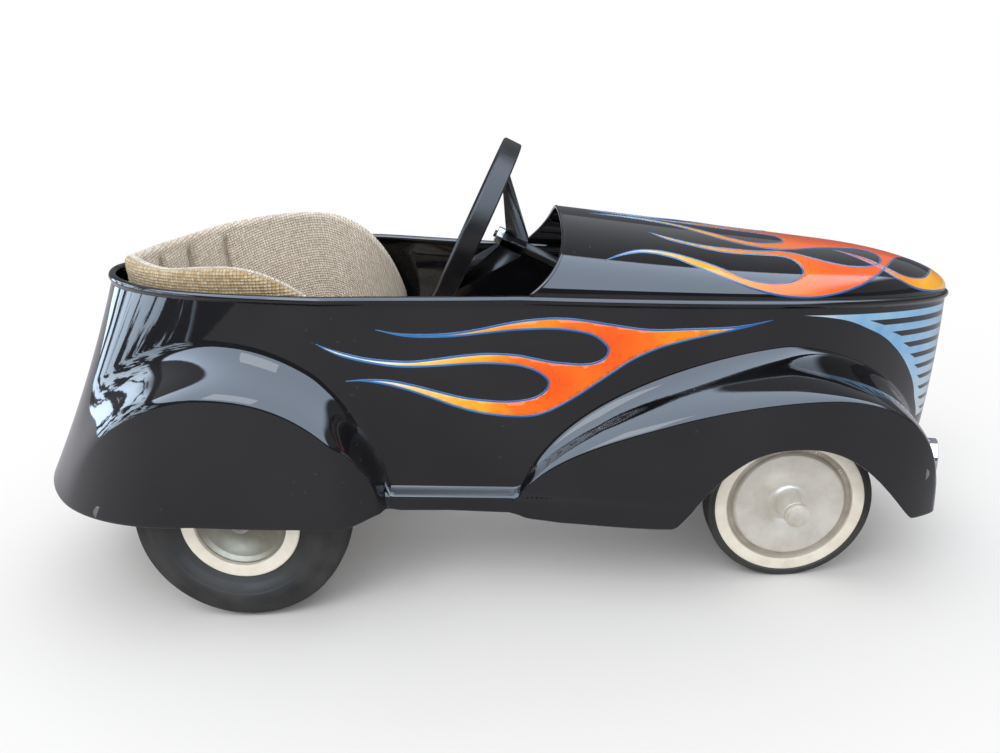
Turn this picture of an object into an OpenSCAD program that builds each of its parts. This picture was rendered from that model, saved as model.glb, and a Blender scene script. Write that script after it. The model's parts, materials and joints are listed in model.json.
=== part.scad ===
// Hot rod pedal car: pressed body on a tube frame, cranked rear axle worked by
// two hanging pedals, steered front wheels on kingpins.
// Units mm. +X is forward, +Y is the left side, +Z is up, the ground is Z = 0.

/* [Body] */
// Length of the body from tail to nose
body_length = 1110; // [1050:5:1180]
// Width of the body over the rear fenders
body_width = 474; // [460:2:500]
// Height of the top of the cowl above the ground
cowl_height = 402; // [396:1:416]
// Thickness of the body and hood sheet
sheet = 2.5; // [2:0.1:3.2]
// Radius of the rolled edge round the cockpit
bead_r = 4.5; // [3.6:0.1:5.2]

/* [Wheels] */
// Diameter of the rear tyres
rear_tyre_d = 228; // [222:1:234]
// Width of the rear tyres
rear_tyre_w = 68; // [60:1:72]
// Diameter of the front tyres
front_tyre_d = 179.2; // [174:0.2:184]
// Width of the front wheels
front_wheel_w = 24; // [20:1:27]
// Set-in of the rear wheel middle planes from the widest part of the fenders
rear_inset = 56; // [53:1:59]
// Distance of the front wheel middle planes from the centre line
front_track = 150; // [146:1:152]
// Diameter of the axles
axle_d = 12; // [10:0.5:13]

/* [Running gear] */
// Throw of the cranks on the rear axle
crank_throw = 34; // [28:1:36]
// Length of the spindle arms and of the column arm
steer_arm = 45; // [40:1:48]
// Diameter of the steering column
column_d = 12.7; // [11:0.1:14]
// Radial clearance of a shaft in its bearing
run_gap = 0.05; // [0.03:0.01:0.08]
// Width of the two frame rails
rail_w = 16; // [14:1:18]
// Height of the two frame rails
rail_h = 20; // [18:1:22]

/* [Steering wheel] */
// Outer diameter of the steering wheel
wheel_d = 207; // [190:1:215]
// Width of the flat band that makes the rim
band_w = 22; // [18:1:24]
// Depth of the dish from the rim to the hub
dish = 41; // [34:1:48]
// Depth of the hub and of each spoke at the hub
spoke_w = 25; // [20:1:30]

/* [Seat] */
// Thickness of the seat cushion
cushion_h = 38; // [32:1:40]
// Thickness of the padded seat back
back_pad = 17; // [14:1:20]
// Number of sewn channels in the seat back
channels = 6; // [4:1:8]

/* [Hidden] */
kx = body_length / 1110;
ky = body_width / 474;
kz = cowl_height / 402;
round_fn = 64;
wheel_fn = 96;
// Shift that puts the middle of the whole car over the origin
mid_x = -12.9;
function along(u) = mid_x + kx * u;
function plan_u(x) = (x - mid_x) / kx;
rear_x = along(-260);
rear_track = body_width / 2 - rear_inset;
front_x = along(330);
rear_z = rear_tyre_d / 2;
front_z = front_tyre_d / 2;
axle_r = axle_d / 2;
col_r = column_d / 2;
rail_y = 84;
rail_z = rear_z + 16;
rail_top = rail_z + rail_h;
rail_in = rail_y - rail_w / 2;
rail_out = rail_y + rail_w / 2;
bolt_r = 3;
kingpin_y = front_track - 35;
kingpin_r = 4.5;
fork_gap = 28;
plate = 5;
tie_r = 4;

// Smooth step from 0 to 1
function step01(t) = let(c = min(1, max(0, t))) c * c * (3 - 2 * c);
function clip01(t) = min(1, max(0, t));
function pos(t) = max(0, t);

// Body surface in its own proportions, before the three scale factors
tail_x = -436;
nose_x = 556;
function belt0(x) = 339.8 - 0.0655 * x - 0.0000548 * x * x + 4 * exp(-pow((x + 190) / 130, 2));
function tail0(z) = let(t = (358 - z) / 233) tail_x - 84 * t - 20 * t * t;
function nose0(z) = let(t = (285 - z) / 160) nose_x + 2 * t - 10 * t * t;

// Half width of the plain body: a rounded tail, straight doors, a tapering hood; its foot
// runs level with the running board
function plain0(x, z) = let(b = wall0(x, z))
    b + (foot - b) * step01((270 - z) / 130) * step01((x + 230) / 80) * step01((140 - x) / 100);
foot = 178;
skirt = 190;
function wall0(x, z) =
    x < -150 ?
        let(t = clip01((358 - z) / 233), k = step01((-300 - x) / 160),
            w = 200 + 32 * t * k, l = 290 - 60 * t * k, d = clip01((x - tail0(z)) / l))
        w * pow(pos(1 - pow(1 - d, 1.9 + 0.1 * t)), 1 / (1.6 + 0.4 * t * k))
    : x < 40 ? 200 - 32 * clip01((x + 150) / 190)
    : let(s = clip01((x - 40) / (nose0(z) - 40))) 168 * pow(pos(1 - pow(s, 2.2)), 0.6667);

// Outlines of the two fenders, where they leave the door and where their flat faces
// begin: middle, peak, foot, reach and roundness to the rear, reach and roundness forward
rear_crease = [-265, 308, 120, 255, 1.7, 163, 2.3];
rear_edge = [-270, 263, 120, 177, 1.7, 158, 2];
front_crease = [318, 264, 110, 285, 1.9, 205, 1.6];
front_edge = [345, 226, 90, 330, 1.8, 130, 2.2];
// Level of such an outline: 1 on the line, less inside, more outside
function arch0(x, z, o) =
    let(h = pos(z - o[2]) / (o[1] - o[2]), d = x - o[0], n = o[d < 0 ? 4 : 6], a = o[d < 0 ? 3 : 5])
    pow(pow(abs(d) / a, n) + pow(h, n), 1 / n);
// Share of the fender bulge between an upper line and the edge of its face
function bulge0(up, face) =
    let(a = pos(1 - up), b = pos(face - 1), t = a / max(a + b, 0.000001))
    pow(t, 1.6) / (pow(t, 1.6) + pow(1 - t, 1.6));
function rear_bulge0(x, z) = bulge0(arch0(x, z, rear_crease), arch0(x, z, rear_edge));
function front_bulge0(x, z) = bulge0(arch0(x, z, front_crease), arch0(x, z, front_edge));
// Half width at the fender faces, which come in to the running board at their ends
function rear_face0(x, z) = let(d = clip01((x - tail0(z)) / 235))
    skirt + (237 * sqrt(pos(1 - pow(1 - d, 2))) - skirt) * step01((-93 - x) / 58);
function front_face0(x) = let(t = clip01((x - 350) / 187))
    skirt + (206 * pow(pos(1 - pow(t, 3)), 0.3333) - skirt) * step01((x - 28) / 160);
// Upper line of the running board's step, which falls a little to the front
function step0(x) = 136 - 0.055 * (x + 40);
function board0(x, z) =
    step01((step0(x) - z) / 8) * clip01((x + 330) / 80) * clip01((300 - x) / 80);
function half0(x, z) =
    let(b = plain0(x, z),
        r = pos(rear_face0(x, z) - b) * rear_bulge0(x, z),
        f = pos(front_face0(x) - b) * front_bulge0(x, z),
        s = pos(skirt - b) * board0(x, z))
    b + pow(pow(r, 5) + pow(f, 5) + pow(s, 5), 0.2);

// Lower edge: level skirt, running board, front fender and the front wheel arch
edge_line = [[-560, 131], [-298, 130], [-241, 125.5], [-172, 122], [-104, 118.5], [-92, 116],
             [-40, 114], [23, 108.5], [45, 101], [77, 96.5], [188, 91], [300, 88], [436, 88], [480, 87], [500, 95], [515, 106], [535, 116], [560, 120]];
function edge0(x) =
    lookup(x, edge_line) + 88 * pow(pos(1 - pow(abs(x - 318) / (x < 318 ? 123 : 130), 2.4)), 1.3);

// The same in real millimetres
function belt(x) = kz * belt0(plan_u(x));
function half_w(x, z) = ky * half0(plan_u(x), z / kz);
function edge_z(x) = kz * edge0(plan_u(x));
function hood_crown(x) =
    let(u = plan_u(x), t = clip01((u - 405) / (nose_x - 405)))
    kz * (402 - 0.166 * (u - 93) - belt0(u)) * sqrt(pos(1 - pow(t, 2.3)));
// Depth of the inner face of the body wall at a point of the side
function wall_in(x, z) = half_w(x, z) - sheet;

// Stations along the body, close together at the tail, the nose and the fender ends
stations = concat(
    [for (i = [0 : 12]) tail_x + 1.9 * pow(i, 1.9)],
    [for (x = [-204 : 22 : -138]) x],
    [for (x = [-126 : 11 : -93]) x],
    [for (x = [-72 : 24 : 24]) x], [38, 54],
    [for (x = [78 : 24.2 : 420]) x],
    [for (k = [9 : -1 : 0]) nose_x - 3 * pow(k, 1.7)]);
ns = len(stations);
hood_from = search(54, stations)[0];
// Where a station lies at a height: the tail leans back and the nose leans in
function lean(p, z) = let(a = pow(clip01((-200 - p) / 236), 1.3), b = pow(clip01((p - 400) / 156), 1.3))
    along(p + a * (tail0(z / kz) - tail_x) + b * (nose0(z / kz) - nose_x));

// Rows of the wall follow the fenders: a third of them above the crease, a third
// over the shoulder and a third down the face
function arch_top(x, o) =
    let(d = x - o[0], n = o[d < 0 ? 4 : 6], a = o[d < 0 ? 3 : 5])
    o[2] + (o[1] - o[2]) * pow(pos(1 - pow(abs(d) / a, n)), 1 / n);
function crease_z(x) =
    let(u = plan_u(x)) kz * max(step0(u) + 1, arch_top(u, rear_crease), arch_top(u, front_crease));
function face_z(x) =
    let(u = plan_u(x)) kz * max(step0(u) - 9, arch_top(u, rear_edge), arch_top(u, front_edge));
function row_z(x, v, top, low) =
    let(c = max(low + 8, min(top - 20, crease_z(x))), f = max(low + 3, min(c - 4, face_z(x))))
    v < 0.36 ? top + (c - top) * v / 0.36
    : v < 0.72 ? c + (f - c) * (v - 0.36) / 0.36
    : f + (low - f) * (v - 0.72) / 0.28;

// A point of the outer wall: s runs tail to nose along the right side and back
// along the left one, v runs from the belt down to the lower edge
function skin(s, v) =
    let(n = ns - 1, q = ((s % (2 * n)) + 2 * n) % (2 * n), m = q <= n ? q : 2 * n - q,
        i = min(n - 1, floor(m)), p = stations[i] + (m - i) * (stations[i + 1] - stations[i]),
        top = belt(lean(p, 350 * kz)) - 1.8 * bead_r,
        low = edge_z(lean(p, 125 * kz)),
        z = row_z(lean(p, 200 * kz), v, top, low), x = lean(p, z))
    [x, (q <= n ? -1 : 1) * half_w(x, z), z];
function unit(a) = a / max(norm(a), 0.000001);
function skin_out(s, v) =
    let(e = 0.04, f = 0.01,
        a = skin(s + e, v) - skin(s - e, v),
        b = skin(s, min(1, v + f)) - skin(s, max(0, v - f)),
        c = unit(cross(b, a)))
    c;
rows = 22;
rows_in = 11;
bead_n = 7;
// Closed section of the wall at one station: down outside, up inside, over the bead
function section(s) =
    let(t = skin(s, 0), c = skin_out(s, 0), h = unit([c[0], c[1], 0]),
        mid = t - h * sheet / 2 + [0, 0, 0.8 * bead_r])
    concat(
        [for (i = [0 : bead_n]) let(a = 232 - 284 * i / bead_n)
            mid + bead_r * (h * cos(a) + [0, 0, sin(a)])],
        [for (j = [0 : rows]) skin(s, j == 0 ? 0.012 : j / rows)],
        [for (j = [rows_in : -1 : 0]) let(v = j == 0 ? 0.02 : j / rows_in)
            skin(s, v) - sheet * skin_out(s, v)]);
module ring_skin(rings, closed = true) {
    n = len(rings);
    m = len(rings[0]);
    pts = [for (r = rings) for (p = r) p];
    quads = [for (i = [0 : n - (closed ? 1 : 2)]) for (j = [0 : m - 1])
        let(k = (i + 1) % n, l = (j + 1) % m)
        for (t = [0, 1]) t == 0 ? [i * m + j, i * m + l, k * m + l] : [i * m + j, k * m + l, k * m + j]];
    caps = closed ? [] : [[for (j = [m - 1 : -1 : 0]) j], [for (j = [0 : m - 1]) (n - 1) * m + j]];
    polyhedron(points = pts, faces = concat(quads, caps), convexity = 12);
}

// Solid helpers
module y_rod(r, y0, y1, x = 0, z = 0, fn = round_fn) {
    translate([x, y1, z]) rotate([90, 0, 0]) cylinder(r = r, h = y1 - y0, $fn = fn);
}
module z_rod(r, z0, z1, x = 0, y = 0, fn = round_fn) {
    translate([x, y, z0]) cylinder(r = r, h = z1 - z0, $fn = fn);
}
module box(x0, x1, y0, y1, z0, z1) {
    translate([x0, y0, z0]) cube([x1 - x0, y1 - y0, z1 - z0]);
}
module hex(across, z0, z1) {
    intersection_for (a = [0, 60, 120]) rotate(a)
        box(-across / 2, across / 2, -across, across, z0, z1);
}
module both_sides() {
    children();
    mirror([0, 1, 0]) children();
}
// A piece of the left side is the right one mirrored
module side(s) {
    if (s > 0) mirror([0, 1, 0]) children();
    else children();
}

// Places where the frame and the cross bars are screwed to the body wall
tab_z = rail_z + 6;
rear_bar_x = along(-400);
mid_bar_x = along(-30);
front_bar_x = along(452);
bar_half = 9;
boss_r = 8;
screw_r = 2.5;
boss_gap = 12;
function boss_face(x, z) = wall_in(x, z) - boss_gap;
dash_x = along(130);
dash_z = 288 * kz;
pedal_x = along(190);
pedal_z = 265;
hanger_r = 6;
module wall_boss(x, z, r, bore) {
    y = boss_face(x, z);
    difference() {
        y_rod(r, -(wall_in(x, z) + 0.6), -y, x, z);
        y_rod(bore, -(y + boss_gap - 2), -y + 1, x, z);
    }
}

// Headlights let into the noses of the front fenders
lamp_x = along(488);
lamp_y = 138 * ky;
lamp_z = 130 * kz;
lamp_r = 20.5;
lamp_yaw = 20;
module lamp_place() {
    translate([lamp_x, -lamp_y, lamp_z]) rotate([0, 0, -lamp_yaw]) rotate([0, 90, 0]) children();
}
module body_shell() {
    color([0.02, 0.02, 0.03]) {
        difference() {
            ring_skin([for (s = [0 : 2 * (ns - 1) - 1]) section(s)]);
            both_sides() lamp_place() translate([0, 0, -60]) cylinder(r = lamp_r + 0.1, h = 90, $fn = round_fn);
        }
    }
}
// Threaded bosses welded inside the wall, and the two cups of the pedal rod
module weld_nuts() {
    color([0.3, 0.3, 0.32]) both_sides() {
        for (x = [rear_bar_x, mid_bar_x, front_bar_x]) wall_boss(x, tab_z, boss_r, screw_r);
        wall_boss(dash_x, dash_z, boss_r, screw_r);
    }
}
module rod_cups() {
    color([0.3, 0.3, 0.32]) both_sides() wall_boss(pedal_x, pedal_z, hanger_r + 5, hanger_r);
}
module headlight_bezel(s) {
    side(s) lamp_place() color([0.85, 0.85, 0.87]) difference() {
        union() {
            translate([0, 0, -16]) cylinder(r = lamp_r, h = 21, $fn = round_fn);
        }
        translate([0, 0, -14]) cylinder(r = lamp_r - 2.5, h = 20, $fn = round_fn);
    }
}
module headlight_lens(s) {
    side(s) lamp_place() color([0.8, 0.9, 0.85]) intersection() {
        translate([0, 0, -2]) cylinder(r = lamp_r - 2.5, h = 12, $fn = round_fn);
        translate([0, 0, -28]) sphere(r = 37, $fn = wheel_fn);
    }
}

// Hood: rows run along the body, columns go over from right to left
hood_cols = 26;
hood_t = sheet;
cowl_sweep = 39;
function hood_pt(i, a, inset) =
    let(p = stations[i], x0 = lean(p, 350 * kz), s = sin(a),
        x = x0 + kx * cowl_sweep * (1 - pow(1 - s, 2.3)) * pow(clip01(1 - (p - 54) / 300), 1.2),
        w = pos(half_w(x0, belt(x0)) - 1.2 - inset), w2 = pos(half_w(x, belt(x)) - 1.2 - inset),
        wm = w + (w2 - w) * s, h = pos(hood_crown(x) - inset * step01(s * 6)))
    [x, -wm * cos(a), belt(x) + 0.1 + h * s];
hood_to = ns - 3;
module hood_shell() {
    rings = [for (i = [hood_from : hood_to])
        concat([for (k = [0 : hood_cols]) hood_pt(i, 180 * k / hood_cols, 0)],
               [for (k = [hood_cols : -1 : 0]) hood_pt(i, 180 * k / hood_cols, hood_t)])];
    color([0.02, 0.02, 0.03]) union() {
        ring_skin(rings, false);
        hood_nose();
    }
}
// The solid tip of the hood behind the last open station
module hood_nose() {
    tips = [for (i = [hood_to : ns - 2])
        concat([for (k = [0 : hood_cols]) hood_pt(i, 180 * k / hood_cols, 0)])];
    ring_skin(tips, false);
}

// Frame: two rails, cross bars screwed to the body, front risers, all welded
module tab_bar(x, y0, y1) {
    difference() {
        union() {
            box(x - bar_half, x + bar_half, y0, y1, rail_top, rail_top + plate);
            box(x - bar_half, x + bar_half, y0, y0 + plate, tab_z - 14, rail_top + plate);
        }
        y_rod(screw_r + 0.1, y0 - 1, y0 + plate + 1, x, tab_z, 32);
    }
}
rail_back = rear_bar_x - 20;
rail_front = front_bar_x + 20;
bolt_dx = 13;
seat_z = 195;
module rail() {
    difference() {
        box(rail_back, rail_front, -rail_out, -rail_in, rail_z, rail_top);
        box(rail_back - 1, rail_front + 1, -rail_out + 2, -rail_in - 2, rail_z + 2, rail_top - 2);
        for (x = bolt_xs) z_rod(bolt_r + 0.1, rail_z - 1, rail_top + 1, x, -rail_y, 32);
    }
}
bolt_xs = [rear_x - bolt_dx, rear_x + bolt_dx, front_x];
beam_top = front_z + fork_gap / 2 + plate;
module chassis_frame() {
    color([0.05, 0.05, 0.06]) both_sides() {
        rail();
        tab_bar(rear_bar_x, -boss_face(rear_bar_x, tab_z), 0);
        tab_bar(front_bar_x, -boss_face(front_bar_x, tab_z), 0);
        tab_bar(mid_bar_x, -boss_face(mid_bar_x, tab_z), -rail_in);
        difference() {
            box(front_x - 13, front_x + 13, -rail_out, -rail_in, beam_top, rail_z);
            z_rod(bolt_r + 0.1, beam_top - 1, rail_z + 1, front_x, -rail_y, 32);
        }
    }
}
module body_screw(x, z, face) {
    y_rod(screw_r, -(face + 9), -face + plate, x, z, 32);
    translate([x, -face + plate, z]) rotate([-90, 0, 0]) difference() {
        cylinder(r1 = 4.6, r2 = 3.6, h = 3, $fn = 32);
        translate([0, 0, 2.2]) box(-5, 5, -0.6, 0.6, 0, 2);
    }
}
module body_screws() {
    color([0.6, 0.6, 0.62]) both_sides() {
        for (x = [rear_bar_x, mid_bar_x, front_bar_x]) body_screw(x, tab_z, boss_face(x, tab_z));
        body_screw(dash_x, dash_z, boss_face(dash_x, dash_z));
    }
}
bolt_seat = beam_top - plate;
module frame_bolts() {
    color([0.6, 0.6, 0.62]) both_sides() for (x = bolt_xs) translate([x, -rail_y, 0]) {
        seat = x == front_x ? bolt_seat : bearing_low;
        z_rod(bolt_r, seat - 4, rail_top + 8, fn = 32);
        hex(10, seat - 4, seat);
        hex(10, rail_top, rail_top + 5);
    }
}
bearing_low = rear_z - axle_r - 4;
module rear_bearing(s) {
    side(s) color([0.35, 0.35, 0.37]) difference() {
        union() {
            box(rear_x - 20, rear_x + 20, -rail_out, -rail_in, bearing_low, rail_z);
            y_rod(axle_r + 4.5, -rail_out - 3, -rail_in + 3, rear_x, rear_z);
        }
        y_rod(axle_r + run_gap, -rail_out - 4, -rail_in + 4, rear_x, rear_z);
        for (d = [-bolt_dx, bolt_dx])
            z_rod(bolt_r + 0.1, bearing_low - 1, rail_z + 1, rear_x + d, -rail_y, 32);
    }
}

// Front axle: a channel whose ends fork over the spindle sleeves
module front_axle_beam() {
    lo = front_z - fork_gap / 2 - plate;
    color([0.05, 0.05, 0.06]) difference() {
        union() {
            box(front_x + 9, front_x + 13, -kingpin_y + 18, kingpin_y - 18, lo, beam_top);
            for (z = [lo, beam_top - plate]) {
                box(front_x - 13, front_x + 13, -kingpin_y, kingpin_y, z, z + plate);
                both_sides() z_rod(13, z, z + plate, front_x, -kingpin_y);
            }
        }
        both_sides() {
            z_rod(kingpin_r, lo - 1, beam_top + 1, front_x, -kingpin_y);
            z_rod(bolt_r + 0.1, bolt_seat - 1, beam_top + 1, front_x, -rail_y, 32);
        }
    }
}
module kingpin(s) {
    lo = front_z - fork_gap / 2 - plate;
    side(s) color([0.6, 0.6, 0.62]) translate([front_x, -kingpin_y, 0]) {
        z_rod(kingpin_r, lo - 3, beam_top + 7);
        z_rod(7.5, lo - 4, lo);
        hex(13, beam_top, beam_top + 6);
    }
}
arm_lo = front_z - 3;
eye_lo = arm_lo + 6 + 0.3;
module spindle(s) {
    g = 0.3;
    lo = front_z - fork_gap / 2;
    side(s) color([0.45, 0.45, 0.47]) translate([front_x, -kingpin_y, 0]) {
        difference() {
            union() {
                z_rod(9.5, lo + g, lo + fork_gap - g);
                y_rod(axle_r, -(front_track - kingpin_y + stub_out), -7, 0, front_z);
                y_rod(axle_r + 3, -(front_track - front_wheel_w / 2 - 6.4 - kingpin_y), -6, 0, front_z);
                box(-steer_arm, 0, -6, 6, arm_lo, arm_lo + 6);
                z_rod(8, arm_lo, arm_lo + 6, -steer_arm);
            }
            z_rod(kingpin_r + run_gap, lo - 1, lo + fork_gap + 1);
        }
        z_rod(tie_r, arm_lo, eye_lo + 6 + 3, -steer_arm);
        z_rod(6.5, eye_lo + 6 + 0.4, eye_lo + 6 + 3.4, -steer_arm);
    }
}
stub_out = 37;
module front_axle_cap(s) {
    y = front_track + stub_out;
    side(s) color([0.8, 0.79, 0.75]) translate([front_x, 0, front_z]) difference() {
        union() {
            y_rod(13.2, -(y + 1), -(y - 3.5));
            y_rod(10.7, -(y + 3.5), -y);
        }
        y_rod(axle_r, -y, -(y - 4));
    }
}

// Wheels turn about Y; w runs outward from the middle plane of the wheel
module y_turn(x, y, z, pts) {
    translate([x, -y, z]) rotate([90, 0, 0]) rotate_extrude($fn = wheel_fn) polygon(pts);
}
function arc_pts(cx, cy, rx, ry, a0, a1, n) = [for (i = [0 : n]) let(a = a0 + (a1 - a0) * i / n)
    [cx + rx * cos(a), cy + ry * sin(a)]];
function flip_w(p) = [for (i = [len(p) - 1 : -1 : 0]) [p[i][0], -p[i][1]]];

// Rear tyre: an open carcass, beads under the rim flanges, four ribs on the tread
rim_r = rear_tyre_d * 0.2776;
module rear_tyre(s) {
    r = rear_tyre_d / 2;
    w = rear_tyre_w / 2;
    b = rim_r - 3;
    m = (r + b) / 2 - 1;
    k = 1.6;
    out_half = concat([[b, rear_ring_w - 4], [rim_r + 0.2, rear_ring_w - 2.2]], arc_pts(m, 0, (r - b) / 2 - 1, w, 128, 62, 7),
                      [[r - 5, w * 0.78], [r - 2.4, w * 0.66], [r - 1.2, w * 0.5]],
                      [[r - 1.1 - k, w * 0.46], [r - 1 - k, w * 0.4], [r - 0.7, w * 0.36],
                       [r - 0.2, w * 0.14], [r - k - 0.2, w * 0.11], [r - k - 0.2, w * 0.04], [r, 0]]);
    in_half = concat([[b, w - 16]], arc_pts(m - 1, 0, (r - b) / 2 - 8, w - 7, 128, 20, 8), [[r - 9, 0]]);
    side(s) color([0.03, 0.03, 0.03]) y_turn(rear_x, rear_track, rear_z,
        concat(out_half, flip_w(out_half), [for (q = in_half) [q[0], -q[1]]], flip_list(in_half)));
}
// Rear rim: flat painted ring outside, drop centre barrel, plain flange inside
rear_ring_w = 26;
module rear_rim(s) {
    w = rear_tyre_w / 2 - 9;
    r0 = rear_disc_r;
    r1 = rim_r;
    side(s) color([0.9, 0.87, 0.78]) y_turn(rear_x, rear_track, rear_z,
        [[r0, rear_ring_w], [r1 - 1, rear_ring_w], [r1, rear_ring_w - 1], [r1, rear_ring_w - 2],
         [r1 - 3, rear_ring_w - 2], [r1 - 3, w - 7], [r0 + 2, w - 12], [r0 + 2, -w + 12], [r1 - 3, -w + 7], [r1 - 3, -w],
         [r1, -w], [r1, -w - 2], [r1 - 5, -w - 2], [r1 - 5, -w + 6], [r0, -w + 11]]);
}
rear_disc_r = rear_tyre_d * 0.214;
module rear_disc(s) {
    r = rear_disc_r;
    f = rear_ring_w;
    side(s) color([0.35, 0.33, 0.3]) difference() {
        y_turn(rear_x, rear_track, rear_z,
            concat([[axle_r, -18], [15, -18], [15, f - 17]],
                   [for (i = [0 : 6]) let(t = i / 6) [18 + (r - 24) * t, f - 19 + 9 * sin(90 * t) * t]],
                   [[r - 3, f - 12], [r - 2.4, f - 20], [r, f - 20], [r, f - 4], [r - 1.8, f - 4]],
                   [for (i = [6 : -1 : 0]) let(t = i / 6) [18 + (r - 24) * t, f - 16.5 + 9 * sin(90 * t) * t]],
                   [[14, f - 12], [14, f - 4], [axle_r, f - 4]]));
        if (s > 0) y_rod(axle_r + run_gap, -rear_track - 40, -rear_track + 40, rear_x, rear_z);
    }
}
module rear_axle_cap(s) {
    y = rear_track + rear_ring_w - 4;
    side(s) color([0.7, 0.7, 0.7]) translate([rear_x, 0, rear_z]) difference() {
        union() {
            y_rod(10.5, -(y + 4), -(y + 0.3));
            y_rod(8, -(y + 6.5), -(y + 3));
        }
        y_rod(axle_r, -(y + 4), -y);
    }
}

// Front tyre: a low solid band with three grooves, on a painted channel ring
front_ring_r = front_tyre_d * 0.4536;
front_disc_r = front_tyre_d * 0.382;
module front_tyre(s) {
    r = front_tyre_d / 2;
    b = front_ring_r - 2;
    w = front_wheel_w / 2 + 1;
    h = concat([[b, w - 1.2], [front_ring_r + 0.3, w - 1.2], [b + 3.8, w + 0.4], [r - 1.9, w - 0.2], [r - 0.7, w - 0.8], [r - 0.1, w - 2.2], [r - 0.1, w - 5]],
               [[r - 1.6, w - 5.6], [r - 1.6, w - 6.4], [r - 0.1, w - 7], [r, 2], [r - 1.6, 1.2], [r - 1.6, 0]]);
    side(s) color([0.03, 0.03, 0.03]) y_turn(front_x, front_track, front_z, concat(h, flip_w(h)));
}
module front_rim(s) {
    r0 = front_disc_r;
    r1 = front_ring_r;
    w = front_wheel_w / 2;
    side(s) color([0.9, 0.87, 0.78]) y_turn(front_x, front_track, front_z,
        [[r0, w], [r0 + 0.8, w + 0.8], [r1 - 1, w + 0.8], [r1, w + 0.2], [r1 - 2, w], [r1 - 2, -w], [r1, -w], [r1, -w - 1.5],
         [r1 - 4, -w - 1.5], [r1 - 4, w - 2], [r0, w - 2]]);
}
module front_disc(s) {
    r = front_disc_r;
    w = front_wheel_w / 2;
    face = [for (i = [0 : 8]) let(t = i / 8) [22 + (r - 32) * t, w - 7 + 7.5 * pow(sin(90 * t), 0.8)]];
    back = [for (i = [8 : -1 : 0]) [face[i][0], face[i][1] - 2]];
    hub = stub_out - 4;
    side(s) color([0.75, 0.73, 0.68]) difference() {
        y_turn(front_x, front_track, front_z,
            concat([[axle_r + run_gap, -w - 6], [13, -w - 6], [13, w - 11]], flip_list(back),
                   [[r - 7, w - 3], [r - 6, w - 6], [r - 2, w - 6], [r, w - 5], [r, w - 0.5], [r - 1, w - 0.5], [r - 2, w - 3.8],
                    [r - 6, w - 3.8], [r - 8, w - 1.5]], flip_list(face),
                   arc_pts(22, w + 1, 7.5, 8, 270, 180, 5), [[13.6, hub - 1], [13, hub], [axle_r + run_gap, hub]]));
        for (a = [-66, -34]) rotate_about_wheel(a) y_rod(1.2, -front_track - w - 4, -front_track - w + 8, r - 4, 0, 16);
    }
}
function flip_list(p) = [for (i = [len(p) - 1 : -1 : 0]) p[i]];
module rotate_about_wheel(a) {
    translate([front_x, 0, front_z]) rotate([0, a, 0]) children();
}

// Steering: the wheel, spokes and column share one sloping line
slope = 28;
wheel_at = [along(-6.5), 0, 388.5];
module on_column() {
    translate(wheel_at) rotate([0, 90 + slope, 0]) children();
}
// Distance down the column line to a height or to a station
function down_to_x(x) = (x - wheel_at[0]) / cos(slope);
function column_z(x) = wheel_at[2] - (x - wheel_at[0]) * tan(slope);
tie_x = front_x - steer_arm;
pin_at = (tie_x - wheel_at[0] + steer_arm * sin(slope)) / cos(slope);
column_end = pin_at - 5;
module steering_rim() {
    r = wheel_d / 2;
    w = band_w - 9;
    color([0.02, 0.02, 0.02]) on_column() rotate_extrude($fn = wheel_fn)
        polygon(concat([[r - 7, -6]], arc_pts(r - 4, -6, 4, 3, 225, 360, 6),
                       [[r, w - 1.5], [r - 1.5, w], [rim_in + 1, w], [rim_in, w - 1], [rim_in, w - 7.5]]));
}
spoke_t = 3.2;
rim_in = wheel_d / 2 - 8.5;
hub_w = 20;
// A strip on edge, deep at the hub and narrow where it meets the rim
module spoke_arm() {
    r1 = rim_in + 1;
    z1 = band_w - 10;
    intersection() {
        translate([0, spoke_t / 2, 0]) rotate([90, 0, 0]) linear_extrude(spoke_t)
            polygon([[hub_w / 2 - 2, dish - spoke_t], [hub_w * 0.72, dish - spoke_t], [r1, z1 - 6.5], [r1, z1],
                     [hub_w * 0.8, dish + spoke_w], [hub_w / 2 - 2, dish + spoke_w]]);
        cylinder(r = rim_in, h = 2 * dish + spoke_w, $fn = wheel_fn);
    }
}
module steering_spokes() {
    color([0.02, 0.02, 0.02]) on_column() difference() {
        union() {
            for (a = [45 : 90 : 315]) rotate(a) spoke_arm();
            box(-hub_w / 2, hub_w / 2, -hub_w / 2, hub_w / 2, dish - spoke_t, dish + spoke_w);
        }
        translate([0, 0, dish - 9]) cylinder(r = col_r, h = spoke_w + 20, $fn = round_fn);
    }
}
module steering_nut() {
    color([0.6, 0.6, 0.62]) on_column() {
        difference() {
            hex(19, dish - spoke_t - 8, dish - spoke_t);
            z_rod(4, dish - spoke_t - 9, dish);
        }
    }
}
module steering_column() {
    color([0.6, 0.6, 0.62]) on_column() {
        z_rod(col_r, dish - spoke_t, column_end);
        z_rod(4, dish - spoke_t - 11, dish);
        z_rod(col_r + 3.5, upper_bush - 17 - 6, upper_bush - 12.4);
    }
}
module column_arm() {
    color([0.4, 0.4, 0.42]) on_column() {
        difference() {
            union() {
                z_rod(col_r + 5, lower_bush + 11.4, column_end);
                box(0, steer_arm, -6, 6, column_end - 5, column_end);
                z_rod(8, column_end - 5, column_end, steer_arm);
            }
            z_rod(col_r, lower_bush, column_end + 1);
        }
        z_rod(tie_r, column_end - 5, column_end + 14, steer_arm);
    }
}
upper_bush = down_to_x(dash_x);
lower_x = tie_x - 12;
lower_bush = down_to_x(lower_x);
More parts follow.
